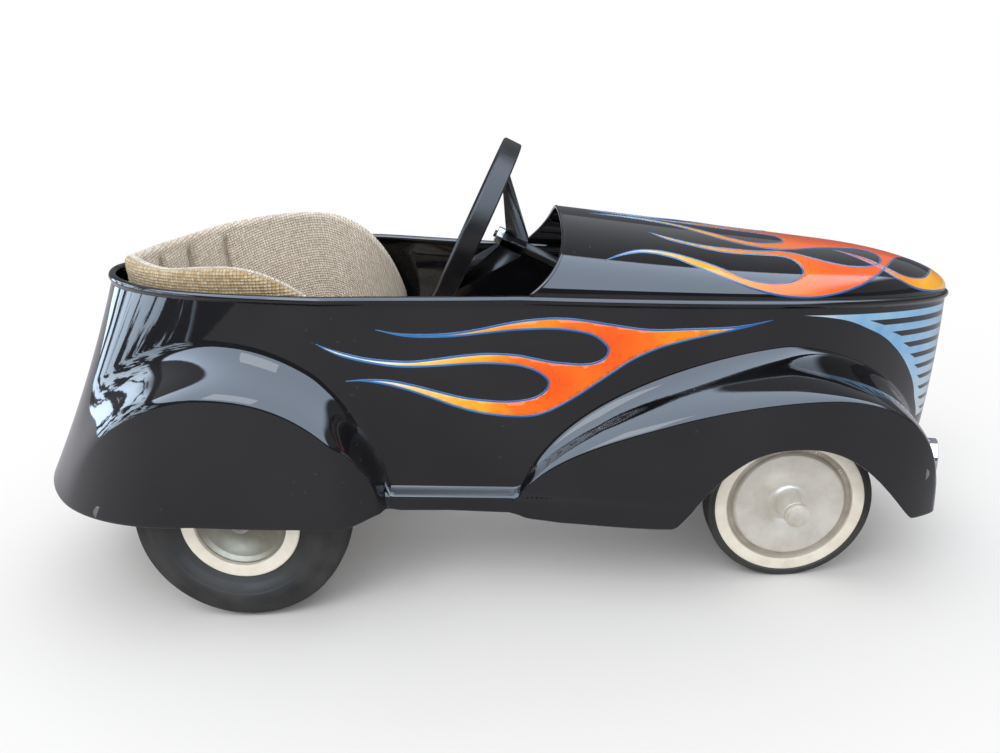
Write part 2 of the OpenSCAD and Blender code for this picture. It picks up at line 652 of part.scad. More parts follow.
module dash_bar() {
    y = boss_face(dash_x, dash_z);
    top = dash_z + 13;
    color([0.05, 0.05, 0.06]) difference() {
        union() {
            box(dash_x - 12, dash_x + 12, -y, y, top - plate, top);
            both_sides() box(dash_x - 12, dash_x + 12, -y, -y + plate, dash_z - 12, top);
            box(dash_x - 9, dash_x + 9, -9, 9, top, column_z(dash_x));
            on_column() z_rod(col_r + 6, upper_bush - 12, upper_bush + 12);
        }
        both_sides() y_rod(screw_r + 0.1, -y - 1, -y + plate + 1, dash_x, dash_z, 32);
        on_column() z_rod(col_r + run_gap, upper_bush - 30, upper_bush + 30);
    }
}
module steering_support() {
    top = column_z(lower_x) - col_r - 9;
    color([0.05, 0.05, 0.06]) difference() {
        union() {
            both_sides() {
                box(lower_x - 16, lower_x + 2, -rail_y - 2, -rail_y + 2, rail_top, top);
                box(lower_x - 16, lower_x + 2, -rail_out, -rail_in, rail_top, rail_top + 3);
            }
            box(lower_x - 16, lower_x + 2, -rail_y - 2, rail_y + 2, top - plate, top);
            box(lower_x - 9, lower_x + 2, -8, 8, top - 1, column_z(lower_x));
            on_column() z_rod(col_r + 5.5, lower_bush - 11, lower_bush + 11);
        }
        on_column() z_rod(col_r + run_gap, lower_bush - 30, lower_bush + 30);
    }
}
tie_top = eye_lo + 6;
module tie_rod() {
    color([0.45, 0.45, 0.47]) difference() {
        union() {
            box(tie_x - 8, tie_x + 8, -kingpin_y, kingpin_y, eye_lo, tie_top);
            both_sides() z_rod(8, eye_lo, tie_top, tie_x, -kingpin_y);
        }
        both_sides() z_rod(tie_r + run_gap, eye_lo - 1, tie_top + 1, tie_x, -kingpin_y);
    }
}
// Upright on the tie rod whose slot takes the pin of the column arm
module tie_bracket() {
    low = steer_arm + 16;
    foot = wheel_at[0] + (pin_at + 6) * cos(slope) - low * sin(slope);
    head = wheel_at[2] - (pin_at + 6) * sin(slope) - low * cos(slope);
    color([0.45, 0.45, 0.47]) difference() {
        union() {
            box(foot - 2, foot + 2, -15, 15, tie_top, head + 2);
            box(foot - 2, tie_x + 7, -15, 15, tie_top, tie_top + 4);
            on_column() box(steer_arm - 14, low + 2, -15, 15, pin_at + 4, pin_at + 8);
        }
        on_column() {
            z_rod(tie_r + run_gap, pin_at, pin_at + 12, steer_arm + 0.3);
            z_rod(tie_r + run_gap, pin_at, pin_at + 12, steer_arm - 2.6);
            box(steer_arm - 2.6, steer_arm + 0.3, -tie_r - run_gap, tie_r + run_gap, pin_at, pin_at + 12);
        }
    }
}

// Pedals hang from a rod across the body
arm_pin = 120;
arm_y = 57;
pad_r = 83;
rod_y = 45;
// Rest position: right crank up, left crank down. The drive rods are equal, so the
// pedals stand a little apart, one before and one behind the hanging line.
function journal(s) = [rear_x, rear_z - s * crank_throw];
rest_lead = crank_throw * (pedal_z - arm_pin - rear_z) / (pedal_x - rear_x);
rod_len = norm([pedal_x + rest_lead, pedal_z - sqrt(arm_pin * arm_pin - rest_lead * rest_lead)] - journal(-1));
function pin_dir(s) = let(j = journal(s) - [pedal_x, pedal_z], d = norm(j))
    360 + atan2(j[1], j[0]) + acos((arm_pin * arm_pin + d * d - rod_len * rod_len) / (2 * arm_pin * d));
function tilt(s) = 270 - pin_dir(s);
module pedal_rod() {
    y = boss_face(pedal_x, pedal_z) + boss_gap - 2.5;
    color([0.6, 0.6, 0.62]) y_rod(hanger_r, -y, y, pedal_x, pedal_z);
}
module pedal_collars() {
    color([0.5, 0.5, 0.52]) both_sides() for (y = [arm_y + 7.3, arm_y - 13.3])
        difference() {
            y_rod(hanger_r + 4, -y - 6, -y, pedal_x, pedal_z);
            y_rod(hanger_r, -y - 7, -y + 1, pedal_x, pedal_z);
        }
}
module pedal_arm(s) {
    side(s) color([0.05, 0.05, 0.06]) translate([pedal_x, 0, pedal_z]) rotate([0, tilt(s), 0])
        difference() {
            union() {
                y_rod(hanger_r + 4.5, -arm_y - 7, -arm_y + 7);
                box(-7, 7, -arm_y - 3, -arm_y + 3, -arm_pin, 0);
                y_rod(9, -arm_y - 3, -arm_y + 3, 0, -arm_pin);
                y_rod(5, -arm_y - 66, -arm_y, 0, -pad_r);
            }
            y_rod(hanger_r + run_gap, -arm_y - 8, -arm_y + 8);
        }
}
module pedal_pad(s) {
    side(s) color([0.03, 0.03, 0.03]) translate([pedal_x, 0, pedal_z]) rotate([0, tilt(s), 0])
        translate([0, 0, -pad_r]) difference() {
            union() {
                box(-9, 9, -arm_y - 64, -arm_y - 6, -20, 20);
                for (z = [-15, -5, 5, 15]) box(-11, 11, -arm_y - 64, -arm_y - 6, z - 2.5, z + 2.5);
            }
            y_rod(5, -arm_y - 70, -arm_y + 2);
        }
}
web = 6;
module rear_axle() {
    y_end = rear_track + rear_ring_w;
    y_in = rear_track - 18.4;
    color([0.6, 0.6, 0.62]) {
        both_sides() {
            y_rod(axle_r, -y_end, -(rod_y + 8), rear_x, rear_z);
            y_rod(axle_r + 3, -y_in, -y_in + 6, rear_x, rear_z);
        }
        y_rod(axle_r, -(rod_y - 8), rod_y - 8, rear_x, rear_z);
        for (s = [-1, 1]) {
            j = journal(s);
            y_rod(5, s * rod_y - 8, s * rod_y + 8, j[0], j[1]);
            for (t = [-8 - web, 8]) {
                y = s * rod_y + t;
                y_rod(8, y, y + web, rear_x, rear_z);
                y_rod(8, y, y + web, j[0], j[1]);
                box(rear_x - 7, rear_x + 7, y, y + web, min(rear_z, j[1]), max(rear_z, j[1]));
            }
        }
    }
}
module drive_rod(s) {
    j = journal(s);
    e = [pedal_x + arm_pin * cos(pin_dir(s)), pedal_z + arm_pin * sin(pin_dir(s))];
    l = rod_len;
    a = atan2(e[1] - j[1], e[0] - j[0]);
    side(s) color([0.55, 0.55, 0.57]) translate([j[0], -rod_y, j[1]]) rotate([0, -a, 0]) difference() {
        union() {
            y_rod(10, -4, 4);
            box(0, l, -3, 3, -6, 6);
            y_rod(9, -3, 3, l);
            y_rod(4, -8.4, 3, l);
            y_rod(6.5, 3, 5.5, l);
        }
        y_rod(5 + run_gap, -5, 5);
    }
}

// Seat: board on two hoops, wrap-round shell, cushion and padded back
seat_front = along(-150);
seat_back_x = along(-384);
board_half = 134;
board_t = 10;
hoop_xs = [along(-350), along(-172)];
module seat_riser(k) {
    x = hoop_xs[k];
    color([0.05, 0.05, 0.06]) {
        both_sides() {
            box(x - 14, x + 14, -rail_y - 2, -rail_y + 2, rail_top, seat_z);
            box(x - 14, x + 14, -rail_out, -rail_in, rail_top, rail_top + 3);
        }
        box(x - 14, x + 14, -rail_y - 2, rail_y + 2, seat_z - 4, seat_z);
    }
}
module seat_board() {
    color([0.55, 0.42, 0.28]) difference() {
        linear_extrude_at(seat_z, board_t) rounded(seat_back_x, seat_front, board_half, 40);
    }
}
module linear_extrude_at(z, h) {
    translate([0, 0, z]) linear_extrude(h) children();
}
module rounded(x0, x1, hw, r) {
    translate([x0 + r, -hw + r]) circle(r, $fn = round_fn);
    translate([x0 + r, hw - r]) circle(r, $fn = round_fn);
    translate([x0, -hw + r]) square([2 * r, 2 * hw - 2 * r]);
    translate([x0 + r, -hw]) square([x1 - x0 - r, 2 * hw]);
}
seat_top = seat_z + board_t;
// The wrap-round line at a height: a tail curve, then straight wings
function shell_half(z) = 136 + 28 * ky * step01((z - seat_top - 24) / (pad_low - seat_top - 25));
function shell_rear(z) = along(-388 - 38 * step01((z - 214) / 130));
wing_x = along(-205);
wing_tip = along(-116);
// s runs from -1, the tip of the right wing, over 0, the rear, to 1, the left tip
bend_share = 0.78;
function wrap(s, z, inset) =
    let(m = abs(s), g = s < 0 ? -1 : 1, a = min(1, m / bend_share), c = cos(90 * a),
        w = shell_half(z) - inset, x0 = shell_rear(z) + inset, x1 = wing_x,
        f = max(0, (m - bend_share) / (1 - bend_share)))
    [x1 - (x1 - x0) * c + f * (wing_tip - x1), g * w * pow(pos(1 - pow(c, 1.9)), 0.62), z];
function wing_top(x) = let(u = plan_u(x) + 262)
    u < 0 ? 394 - 15 * pow(u / 134, 2) : 250 + 144 * pow(pos(1 - pow(u / 149, 2.2)), 0.667);
shell_low = seat_top;
function shell_top(s) = let(x = wrap(s, 330, 0)[0]) min(336, max(pad_low + 4, wing_top(x) - 30));
// Rows of the shell: close together where it widens above the cushion
function shell_z(top, j) =
    j < 4 ? shell_low + (pad_low - shell_low) * [0, 0.585, 0.78, 1][j]
    : pad_low + (top - pad_low) * (j - 3) / 4;
module seat_shell() {
    n = 26;
    rings = [for (i = [-n : n])
        let(s = i / n, top = shell_top(s))
        concat([for (j = [0 : 7]) wrap(s, shell_z(top, j), 0)],
               [for (j = [7 : -1 : 0]) wrap(s, shell_z(top, j), 2.6)])];
    color([0.04, 0.04, 0.05]) ring_skin(rings, false);
}
// Back pad: outer face against the shell, a rolled top, sewn channels inside
pad_low = seat_top + cushion_h + 3;
function pad_top(s) = let(x = wrap(s, 350, 0)[0], e = s < 0 ? 19 : 0)
    max(pad_low + 14, wing_top(x) - e * step01((abs(s) - 0.2) / 0.3));
function sew(s) = abs(s) > 0.42 ? 0 : 2.6 * pow(abs(cos(180 * channels * (s + 0.42) / 0.84)), 3);
module seat_back() {
    n = 34;
    k = 6;
    rings = [for (i = [-n : n])
        let(s = i / n, top = pad_top(s), r = back_pad / 2, tip = sqrt(pos(1 - pow(abs(s), 14))),
            th = 5 + (back_pad - 5) * tip)
        concat([for (j = [0 : k]) wrap(s, pad_low + (top - r - pad_low) * j / k, 4.3)],
               [for (a = [150 : -40 : 30]) wrap(s, top - r + r * sin(a), 4.3 + th / 2 - th / 2 * cos(180 - a))],
               [for (j = [k : -1 : 0]) wrap(s, pad_low + (top - r - pad_low) * j / k,
                   4.3 + th - sew(s) - 1.5 * pow(j / k - 0.5, 2))])];
    color([0.62, 0.52, 0.4]) ring_skin(rings, false);
}
module seat_cushion() {
    x0 = shell_rear(seat_top) + 5.5;
    x1 = seat_front - 4;
    hw = shell_half(seat_top) - 5.5;
    n = 16;
    m = 6;
    z0 = seat_top + 0.4;
    // Rounded slab inside the shell: side wall drawn in below, crown above
    function edge(i, d) = let(a = 360 * i / (4 * n),
            x = (x0 + x1) / 2 + ((x1 - x0) / 2 - d) * sgn(cos(a)) * pow(abs(cos(a)), 0.45),
            c = clip01((wing_x - x) / (wing_x - x0 - d)))
        [x, min(pow(abs(sin(a)), 0.35), pow(pos(1 - pow(c, 1.9)), 0.62)) * (hw - d) * sgn(sin(a))];
    function sgn(v) = v < 0 ? -1 : 1;
    levels = [[5, 0], [1, 5], [0, 14], [0.5, cushion_h - 14], [5, cushion_h - 6], [16, cushion_h - 2.2],
              [40, cushion_h - 0.6], [80, cushion_h]];
    pts = [for (l = levels) for (i = [0 : 4 * n - 1]) let(e = edge(i, l[0])) [e[0], e[1], z0 + l[1]]];
    q = 4 * n;
    faces = concat([[for (i = [0 : q - 1]) i]],
        [for (j = [0 : len(levels) - 2]) for (i = [0 : q - 1]) let(k = (i + 1) % q)
            [j * q + i, (j + 1) * q + i, (j + 1) * q + k, j * q + k]],
        [[for (i = [q - 1 : -1 : 0]) (len(levels) - 1) * q + i]]);
    color([0.62, 0.52, 0.4]) polyhedron(points = pts, faces = faces, convexity = 4);
}

body_shell();
hood_shell();
weld_nuts();
rod_cups();
headlight_bezel(-1);  // headlight_bezel_right
headlight_lens(-1);  // headlight_lens_right
headlight_bezel(1);  // headlight_bezel_left
headlight_lens(1);  // headlight_lens_left
chassis_frame();
body_screws();
frame_bolts();
rear_bearing(-1);  // rear_bearing_right
rear_bearing(1);  // rear_bearing_left
front_axle_beam();
kingpin(-1);  // kingpin_right
kingpin(1);  // kingpin_left
steering_support();
dash_bar();
pedal_rod();
pedal_collars();
seat_riser(0);  // seat_riser_rear
seat_riser(1);  // seat_riser_front
seat_board();
seat_shell();
seat_cushion();
seat_back();
steering_rim();
steering_spokes();
steering_nut();
steering_column();
column_arm();
spindle(-1);  // spindle_right
front_axle_cap(-1);  // front_axle_cap_right
front_tyre(-1);  // front_tyre_right
front_rim(-1);  // front_rim_right
front_disc(-1);  // front_disc_right
spindle(1);  // spindle_left
front_axle_cap(1);  // front_axle_cap_left
front_tyre(1);  // front_tyre_left
front_rim(1);  // front_rim_left
front_disc(1);  // front_disc_left
tie_rod();
tie_bracket();
rear_axle();
rear_tyre(-1);  // rear_tyre_right
rear_rim(-1);  // rear_rim_right
rear_disc(-1);  // rear_disc_right
rear_axle_cap(-1);  // rear_axle_cap_right
drive_rod(-1);  // drive_rod_right
pedal_arm(-1);  // pedal_arm_right
pedal_pad(-1);  // pedal_pad_right
rear_tyre(1);  // rear_tyre_left
rear_rim(1);  // rear_rim_left
rear_disc(1);  // rear_disc_left
rear_axle_cap(1);  // rear_axle_cap_left
drive_rod(1);  // drive_rod_left
pedal_arm(1);  // pedal_arm_left
pedal_pad(1);  // pedal_pad_left
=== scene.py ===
import json
import math

import bmesh
import bpy
import numpy as np
from mathutils import Matrix, Vector
from mathutils.geometry import delaunay_2d_cdt

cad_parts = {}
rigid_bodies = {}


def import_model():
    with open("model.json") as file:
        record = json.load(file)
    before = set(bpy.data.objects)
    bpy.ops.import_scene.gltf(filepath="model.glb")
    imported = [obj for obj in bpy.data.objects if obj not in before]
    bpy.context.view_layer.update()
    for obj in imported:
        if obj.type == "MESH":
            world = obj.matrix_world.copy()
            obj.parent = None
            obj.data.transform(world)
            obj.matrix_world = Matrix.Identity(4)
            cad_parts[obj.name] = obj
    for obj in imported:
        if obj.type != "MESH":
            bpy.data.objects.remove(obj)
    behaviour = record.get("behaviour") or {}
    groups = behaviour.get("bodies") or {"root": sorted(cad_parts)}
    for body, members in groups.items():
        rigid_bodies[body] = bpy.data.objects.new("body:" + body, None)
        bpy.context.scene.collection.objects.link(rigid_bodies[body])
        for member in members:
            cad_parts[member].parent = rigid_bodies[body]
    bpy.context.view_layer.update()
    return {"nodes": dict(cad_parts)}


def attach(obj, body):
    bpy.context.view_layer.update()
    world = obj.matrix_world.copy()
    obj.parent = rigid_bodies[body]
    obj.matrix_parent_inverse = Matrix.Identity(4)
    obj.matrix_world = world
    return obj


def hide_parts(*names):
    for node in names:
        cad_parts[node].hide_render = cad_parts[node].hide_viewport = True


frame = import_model()
nodes = frame["nodes"]
print("frame loaded:", len(nodes), "nodes")

# the photograph's camera: place in metres, focal length in pixels of a 1000 px wide picture
photoCamera = dict(place=(0.0261, -0.914, 0.511), focal=766.77, yaw=-0.02555, pitch=0.33215, roll=0.04848)


def link(name, data):
    obj = bpy.data.objects.new(name, data)
    bpy.context.scene.collection.objects.link(obj)
    return obj


def setCamera():
    c = photoCamera
    ahead = Vector((math.sin(c["yaw"]) * math.cos(c["pitch"]), math.cos(c["yaw"]) * math.cos(c["pitch"]),
                    -math.sin(c["pitch"])))
    right = ahead.cross(Vector((0, 0, 1))).normalized()
    down = ahead.cross(right)
    rightRolled = right * math.cos(c["roll"]) + down * math.sin(c["roll"])
    downRolled = -right * math.sin(c["roll"]) + down * math.cos(c["roll"])
    data = bpy.data.cameras.new("camera")
    data.sensor_fit = "HORIZONTAL"
    data.sensor_width = 36
    data.lens = c["focal"] * 36 / 1000
    data.clip_start = 0.01
    obj = link("camera", data)
    matrix = Matrix((rightRolled, -downRolled, -ahead)).transposed().to_4x4()
    matrix.translation = c["place"]
    obj.matrix_world = matrix
    bpy.context.scene.camera = obj


setCamera()


# making meshes
sides = ((-1, "Right"), (1, "Left"))


def circle(steps):
    return np.linspace(0, 2 * np.pi, steps, endpoint=False)


def runLength(points):
    return np.concatenate([[0], np.cumsum(np.linalg.norm(np.diff(points, axis=0), axis=1))])


def quadGrid(rows, columns, closeRows=False, closeColumns=False):
    i = np.arange(rows if closeRows else rows - 1)[:, None]
    j = np.arange(columns if closeColumns else columns - 1)[None, :]
    i2, j2 = (i + 1) % rows, (j + 1) % columns
    i, j, i2, j2 = np.broadcast_arrays(i, j, i2, j2)
    return np.stack([i * columns + j, i * columns + j2, i2 * columns + j2, i2 * columns + j], -1).reshape(-1, 4)


# the faces of a row of closed sections; the first and last section are filled where the row doesn't come round
def ringFaces(rows, columns, closeRows=False):
    faces = [tuple(f) for f in quadGrid(rows, columns, closeRows, True)]
    if not closeRows:
        faces += [tuple(range(columns))[::-1], tuple((rows - 1) * columns + k for k in range(columns))]
    return faces


def meshValues(items, key, width=1, kind=np.float32):
    values = np.zeros(len(items) * width, kind)
    items.foreach_get(key, values)
    return values.reshape(-1, width) if width > 1 else values


# points are in millimetres; node is the CAD node that the piece stands for
def addPiece(name, points, faces, material, body, uv=None, layers=None, sharp=None, node=None):
    mesh = bpy.data.meshes.new(name)
    coords = np.asarray(points, float).reshape(-1, 3) * 0.001
    mesh.from_pydata(coords, [], faces if isinstance(faces, list) else faces.tolist())
    if uv is not None:
        layer = mesh.uv_layers.new(name="UVMap")
        corner = meshValues(mesh.loops, "vertex_index", 1, np.int32)
        layer.data.foreach_set("uv", np.asarray(uv, np.float32).reshape(-1, 2)[corner].ravel())
    for key, values in (layers or {}).items():
        mesh.attributes.new(key, "FLOAT", "POINT").data.foreach_set("value", np.asarray(values, np.float32).ravel())
    mesh.polygons.foreach_set("use_smooth", np.ones(len(mesh.polygons), bool))
    if sharp:
        mesh.set_sharp_from_angle(angle=math.radians(sharp))
    mesh.materials.append(material)
    mesh.update()
    obj = link(name, mesh)
    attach(obj, body)
    if node:
        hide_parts(node)
    return obj


def flipFaces(faces):
    return np.asarray(faces)[:, ::-1]


# a closed profile of (radius, outward) points turned about an axis: point = centre + outward distance along
# the axis + radius times (cosine of the turn along one cross direction + sine along the other)
def lathe(name, node, profile, centre, outward, material, body, slot, segments=160, sharp=40):
    prof = np.asarray(profile, float)
    axis = unitRows(np.asarray(outward, float))
    first = unitRows(np.cross(axis, (0.0, 0.0, 1.0) if abs(axis[2]) < 0.9 else (1.0, 0.0, 0.0)))
    second = np.cross(axis, first)
    turn = circle(segments)[:, None, None]
    r, w = prof[None, :, 0, None], prof[None, :, 1, None]
    points = np.asarray(centre, float) + w * axis + r * (np.cos(turn) * first + np.sin(turn) * second)
    area = 0.5 * np.sum(prof[:, 0] * np.roll(prof[:, 1], -1) - np.roll(prof[:, 0], -1) * prof[:, 1])
    faces = quadGrid(segments, len(prof), True, True)
    if area > 0:
        faces = flipFaces(faces)
    radius = np.broadcast_to(prof[None, :, 0] / 1000, (segments, len(prof)))
    return addPiece(name, points, faces, material, body, layers=dict(fromAxle=radius), sharp=sharp, node=node)


# rounds the corners of a closed profile with short arcs: cut is the length taken off each side
def softened(profile, cut=0.5, steps=3):
    p = np.asarray(profile, float)
    before, after = np.roll(p, 1, 0) - p, np.roll(p, -1, 0) - p
    a = p + before * np.minimum(0.45, cut / np.maximum(np.linalg.norm(before, axis=1), 1e-9))[:, None]
    b = p + after * np.minimum(0.45, cut / np.maximum(np.linalg.norm(after, axis=1), 1e-9))[:, None]
    t = np.linspace(0, 1, steps + 1)[None, :, None]
    curve = (1 - t) ** 2 * a[:, None] + 2 * t * (1 - t) * p[:, None] + t ** 2 * b[:, None]
    return curve.reshape(-1, 2)


def arcPoints(cx, cy, rx, ry, a0, a1, n):
    a = np.radians(np.linspace(a0, a1, n + 1))
    return np.stack([cx + rx * np.cos(a), cy + ry * np.sin(a)], 1)


# a smooth curve through a few points, with the same number of steps between each pair
def smoothCurve(points, steps=6, closed=False):
    p = np.asarray(points, float)
    if closed:
        p = np.concatenate([p[-1:], p, p[:2]])
    else:
        p = np.concatenate([2 * p[:1] - p[1:2], p, 2 * p[-1:] - p[-2:-1]])
    t = np.linspace(0, 1, steps, endpoint=False)[None, :, None]
    a, b, c, d = (p[i:len(p) - 3 + i][:, None] for i in range(4))
    curve = 0.5 * (2 * b + (c - a) * t + (2 * a - 5 * b + 4 * c - d) * t ** 2 + (3 * b - a - 3 * c + d) * t ** 3)
    curve = curve.reshape(-1, p.shape[1])
    return curve if closed else np.concatenate([curve, p[-2:-1]])


def unitRows(v):
    return v / np.maximum(np.linalg.norm(v, axis=-1, keepdims=True), 1e-9)


# a round tube along a path
def tubeAlong(name, path, radius, material, around, closed=False, up=(0, 0, 1)):
    ahead = unitRows(np.roll(path, -1, 0) - np.roll(path, 1, 0)) if closed else unitRows(np.gradient(path, axis=0))
    side = unitRows(np.cross(ahead, up))
    upward = np.cross(side, ahead)
    a = circle(around)[None, :, None]
    points = path[:, None] + radius * (np.cos(a) * side[:, None] + np.sin(a) * upward[:, None])
    faces = [f[::-1] for f in ringFaces(len(path), around, closed)]
    uv = np.stack(np.broadcast_arrays(runLength(path)[:, None], np.arange(around)), -1) / 1000
    addPiece(name, points, faces, material, "car_body", uv=uv)


# building materials: each helper adds its nodes to the tree that was opened last
net = dict(tree=None)


def wire(socket, value):
    if isinstance(value, bpy.types.NodeSocket):
        net["tree"].links.new(value, socket)
    else:
        socket.default_value = (*value, 1) if socket.type == "RGBA" and len(value) == 3 else value


def place(kind, inputs=None, **props):
    node = net["tree"].nodes.new("ShaderNode" + kind)
    for key, value in props.items():
        setattr(node, key, value)
    for key, value in (inputs or {}).items():
        wire(node.inputs[key], value)
    return node


def maths(operation, *values):
    return place("Math", dict(enumerate(values)), operation=operation).outputs[0]


def times(a, b):
    return maths("MULTIPLY", a, b)


def plus(a, b):
    return maths("ADD", a, b)


def minus(a, b):
    return maths("SUBTRACT", a, b)


def timesPlus(a, b, c):
    return maths("MULTIPLY_ADD", a, b, c)


def remap(value, low, high, newLow=0.0, newHigh=1.0, ease="LINEAR"):
    return place("MapRange", {"Value": value, "From Min": low, "From Max": high, "To Min": newLow, "To Max": newHigh},
                 interpolation_type=ease).outputs["Result"]


def coordinates(kind="Object"):
    return place("TexCoord").outputs[kind]


def attribute(name):
    return place("Attribute", attribute_name=name, attribute_type="GEOMETRY").outputs["Fac"]


def noise(spot, scale, detail=2.0, **more):
    return place("TexNoise", {"Vector": spot, "Scale": scale, "Detail": detail, **more}).outputs["Fac"]


# moves a vector by a noise's colour, to make what is drawn from it wander
def shaken(spot, scale, detail, reach):
    shake = place("TexNoise", {"Vector": spot, "Scale": scale, "Detail": detail}).outputs["Color"]
    return place("VectorMath", {0: shake, 1: reach, 2: spot}, operation="MULTIPLY_ADD").outputs[0]


def mixColour(factor, a, b):
    return place("Mix", {0: factor, 6: a, 7: b}, data_type="RGBA").outputs[2]


def ramp(factor, stops, ease="LINEAR"):
    node = place("ValToRGB", {"Fac": factor})
    node.color_ramp.interpolation = ease
    elements = node.color_ramp.elements
    elements.remove(elements[1])
    elements[0].position = stops[0][0]
    for position, _ in stops[1:]:
        elements.new(position)
    for element, (_, colour) in zip(elements, stops):
        element.color = (*colour, 1)
    return node.outputs["Color"]


def openMaterial(name):
    mat = bpy.data.materials.new(name)
    mat.use_nodes = True
    net["tree"] = mat.node_tree
    net["tree"].nodes.clear()
    return mat


# ends a material: colour, roughness, a bump of (height, distance, strength), and other sockets by name
def closeMaterial(mat, colour, rough, bump=None, **sockets):
    shader = place("BsdfPrincipled", {"Base Color": colour, "Roughness": rough})
    for key, value in sockets.items():
        wire(shader.inputs[key.replace("_", " ")], value)
    if bump:
        relief = place("Bump", dict(zip(("Height", "Distance", "Strength"), bump)))
        wire(shader.inputs["Normal"], relief.outputs[0])
    place("OutputMaterial", {"Surface": shader.outputs["BSDF"]})
    return mat


# a node group of numbers: inputs is a dictionary of names and defaults
def openGroup(name, inputs, outputs):
    group = net["tree"] = bpy.data.node_groups.new(name, "ShaderNodeTree")
    for label, default in inputs.items():
        kind = "NodeSocketVector" if isinstance(default, tuple) else "NodeSocketFloat"
        group.interface.new_socket(label, in_out="INPUT", socket_type=kind).default_value = default
    for label in outputs:
        group.interface.new_socket(label, in_out="OUTPUT", socket_type="NodeSocketFloat")
    return group, group.nodes.new("NodeGroupInput").outputs, group.nodes.new("NodeGroupOutput").inputs


def useGroup(group, **inputs):
    return place("Group", inputs, node_tree=group).outputs


# slow change over a surface: noise on the object's own coordinates, stretched to run from Low to High
patchyGroup, start, end = openGroup("patchy", dict(Scale=20.0, Detail=3.0, Low=0.0, High=1.0), ["Value"])
wire(end["Value"], remap(noise(coordinates(), start["Scale"], start["Detail"]), 0.3, 0.7, start["Low"], start["High"]))

# small specks: cells of a Voronoi pattern smaller than Size, kept only where a slow noise is above Rarity; what is
# given out is the rim of each, as a dried drop leaves
specks, start, end = openGroup("specks", dict(Scale=60.0, Size=0.1, Rarity=0.6), ["Ring"])
where = coordinates()
cells = place("TexVoronoi", {"Vector": shaken(where, 260.0, 1.0, (0.004, 0.004, 0.004)), "Scale": start["Scale"],
                             "Randomness": 1.0}).outputs["Distance"]
keep = maths("GREATER_THAN", noise(where, 9.0, 0.0), start["Rarity"])
inside = maths("LESS_THAN", cells, start["Size"])
hole = maths("LESS_THAN", cells, times(start["Size"], 0.68))
wire(end["Ring"], times(minus(inside, hole), keep))

# hairline scratches: a noise pressed thin along one direction
scratches, start, end = openGroup("scratches", dict(Along=(6.0, 200.0, 160.0), Share=0.06), ["Mask"])
stretch = place("Mapping", {"Vector": coordinates(), "Scale": start["Along"]}).outputs[0]
wire(end["Mask"], remap(noise(stretch, 1.0, 2.0, Roughness=0.7), plus(times(start["Share"], -1.0), 0.76), 0.8))

# turned metal: rings from a one-way noise of the distance from the axle, with stains over them
turned, start, end = openGroup("turned", dict(Rings=900.0), ["Ring", "Stain"])
rings = place("TexNoise", {"W": attribute("fromAxle"), "Scale": start["Rings"], "Detail": 3.0}, noise_dimensions="1D")
wire(end["Ring"], rings.outputs["Fac"])
wire(end["Stain"], remap(noise(coordinates(), 34.0, 6.0, Roughness=0.62), 0.36, 0.72))

# basket weave on a piece's own UV map in metres: in every other cell the yarn across lies over the yarn along;
# a yarn is as high as the square root of the sine across it, and dips where it goes under
basket, start, end = openGroup("basket", dict(Cell=300.0, Wide=1.0, Turn=0.0), ["Height", "Gap", "Yarn"])
loose = shaken(place("UVMap").outputs[0], 130.0, 2.0, (0.0011, 0.0011, 0.0))
spun = place("VectorRotate", {"Vector": loose, "Angle": start["Turn"]}, rotation_type="Z_AXIS").outputs[0]
grid = place("SeparateXYZ", {0: spun}).outputs
across = times(grid["X"], maths("DIVIDE", start["Cell"], start["Wide"]))
along = times(grid["Y"], start["Cell"])
cellX, cellY = maths("FLOOR", across), maths("FLOOR", along)
over = maths("PINGPONG", plus(cellX, cellY), 1.0)
archX, archY = (maths("SINE", times(maths("FRACT", t), math.pi)) for t in (across, along))


def yarnHeight(cross, run):
    return times(maths("POWER", cross, 0.55), timesPlus(run, 0.55, 0.45))


height = plus(times(yarnHeight(archX, archY), over), times(yarnHeight(archY, archX), minus(1.0, over)))
wire(end["Height"], height)
# second output: where the yarns lie low between each other, a mask for painted shade in the gaps
wire(end["Gap"], remap(height, 0.16, 0.5, 1.0, 0.0))
cellId = place("CombineXYZ", {"X": cellX, "Y": cellY}).outputs[0]
wire(end["Yarn"], place("TexWhiteNoise", {"Vector": cellId}).outputs["Value"])


def patchy(scale, detail=3.0, low=0.0, high=1.0):
    return useGroup(patchyGroup, Scale=scale, Detail=detail, Low=low, High=high)["Value"]


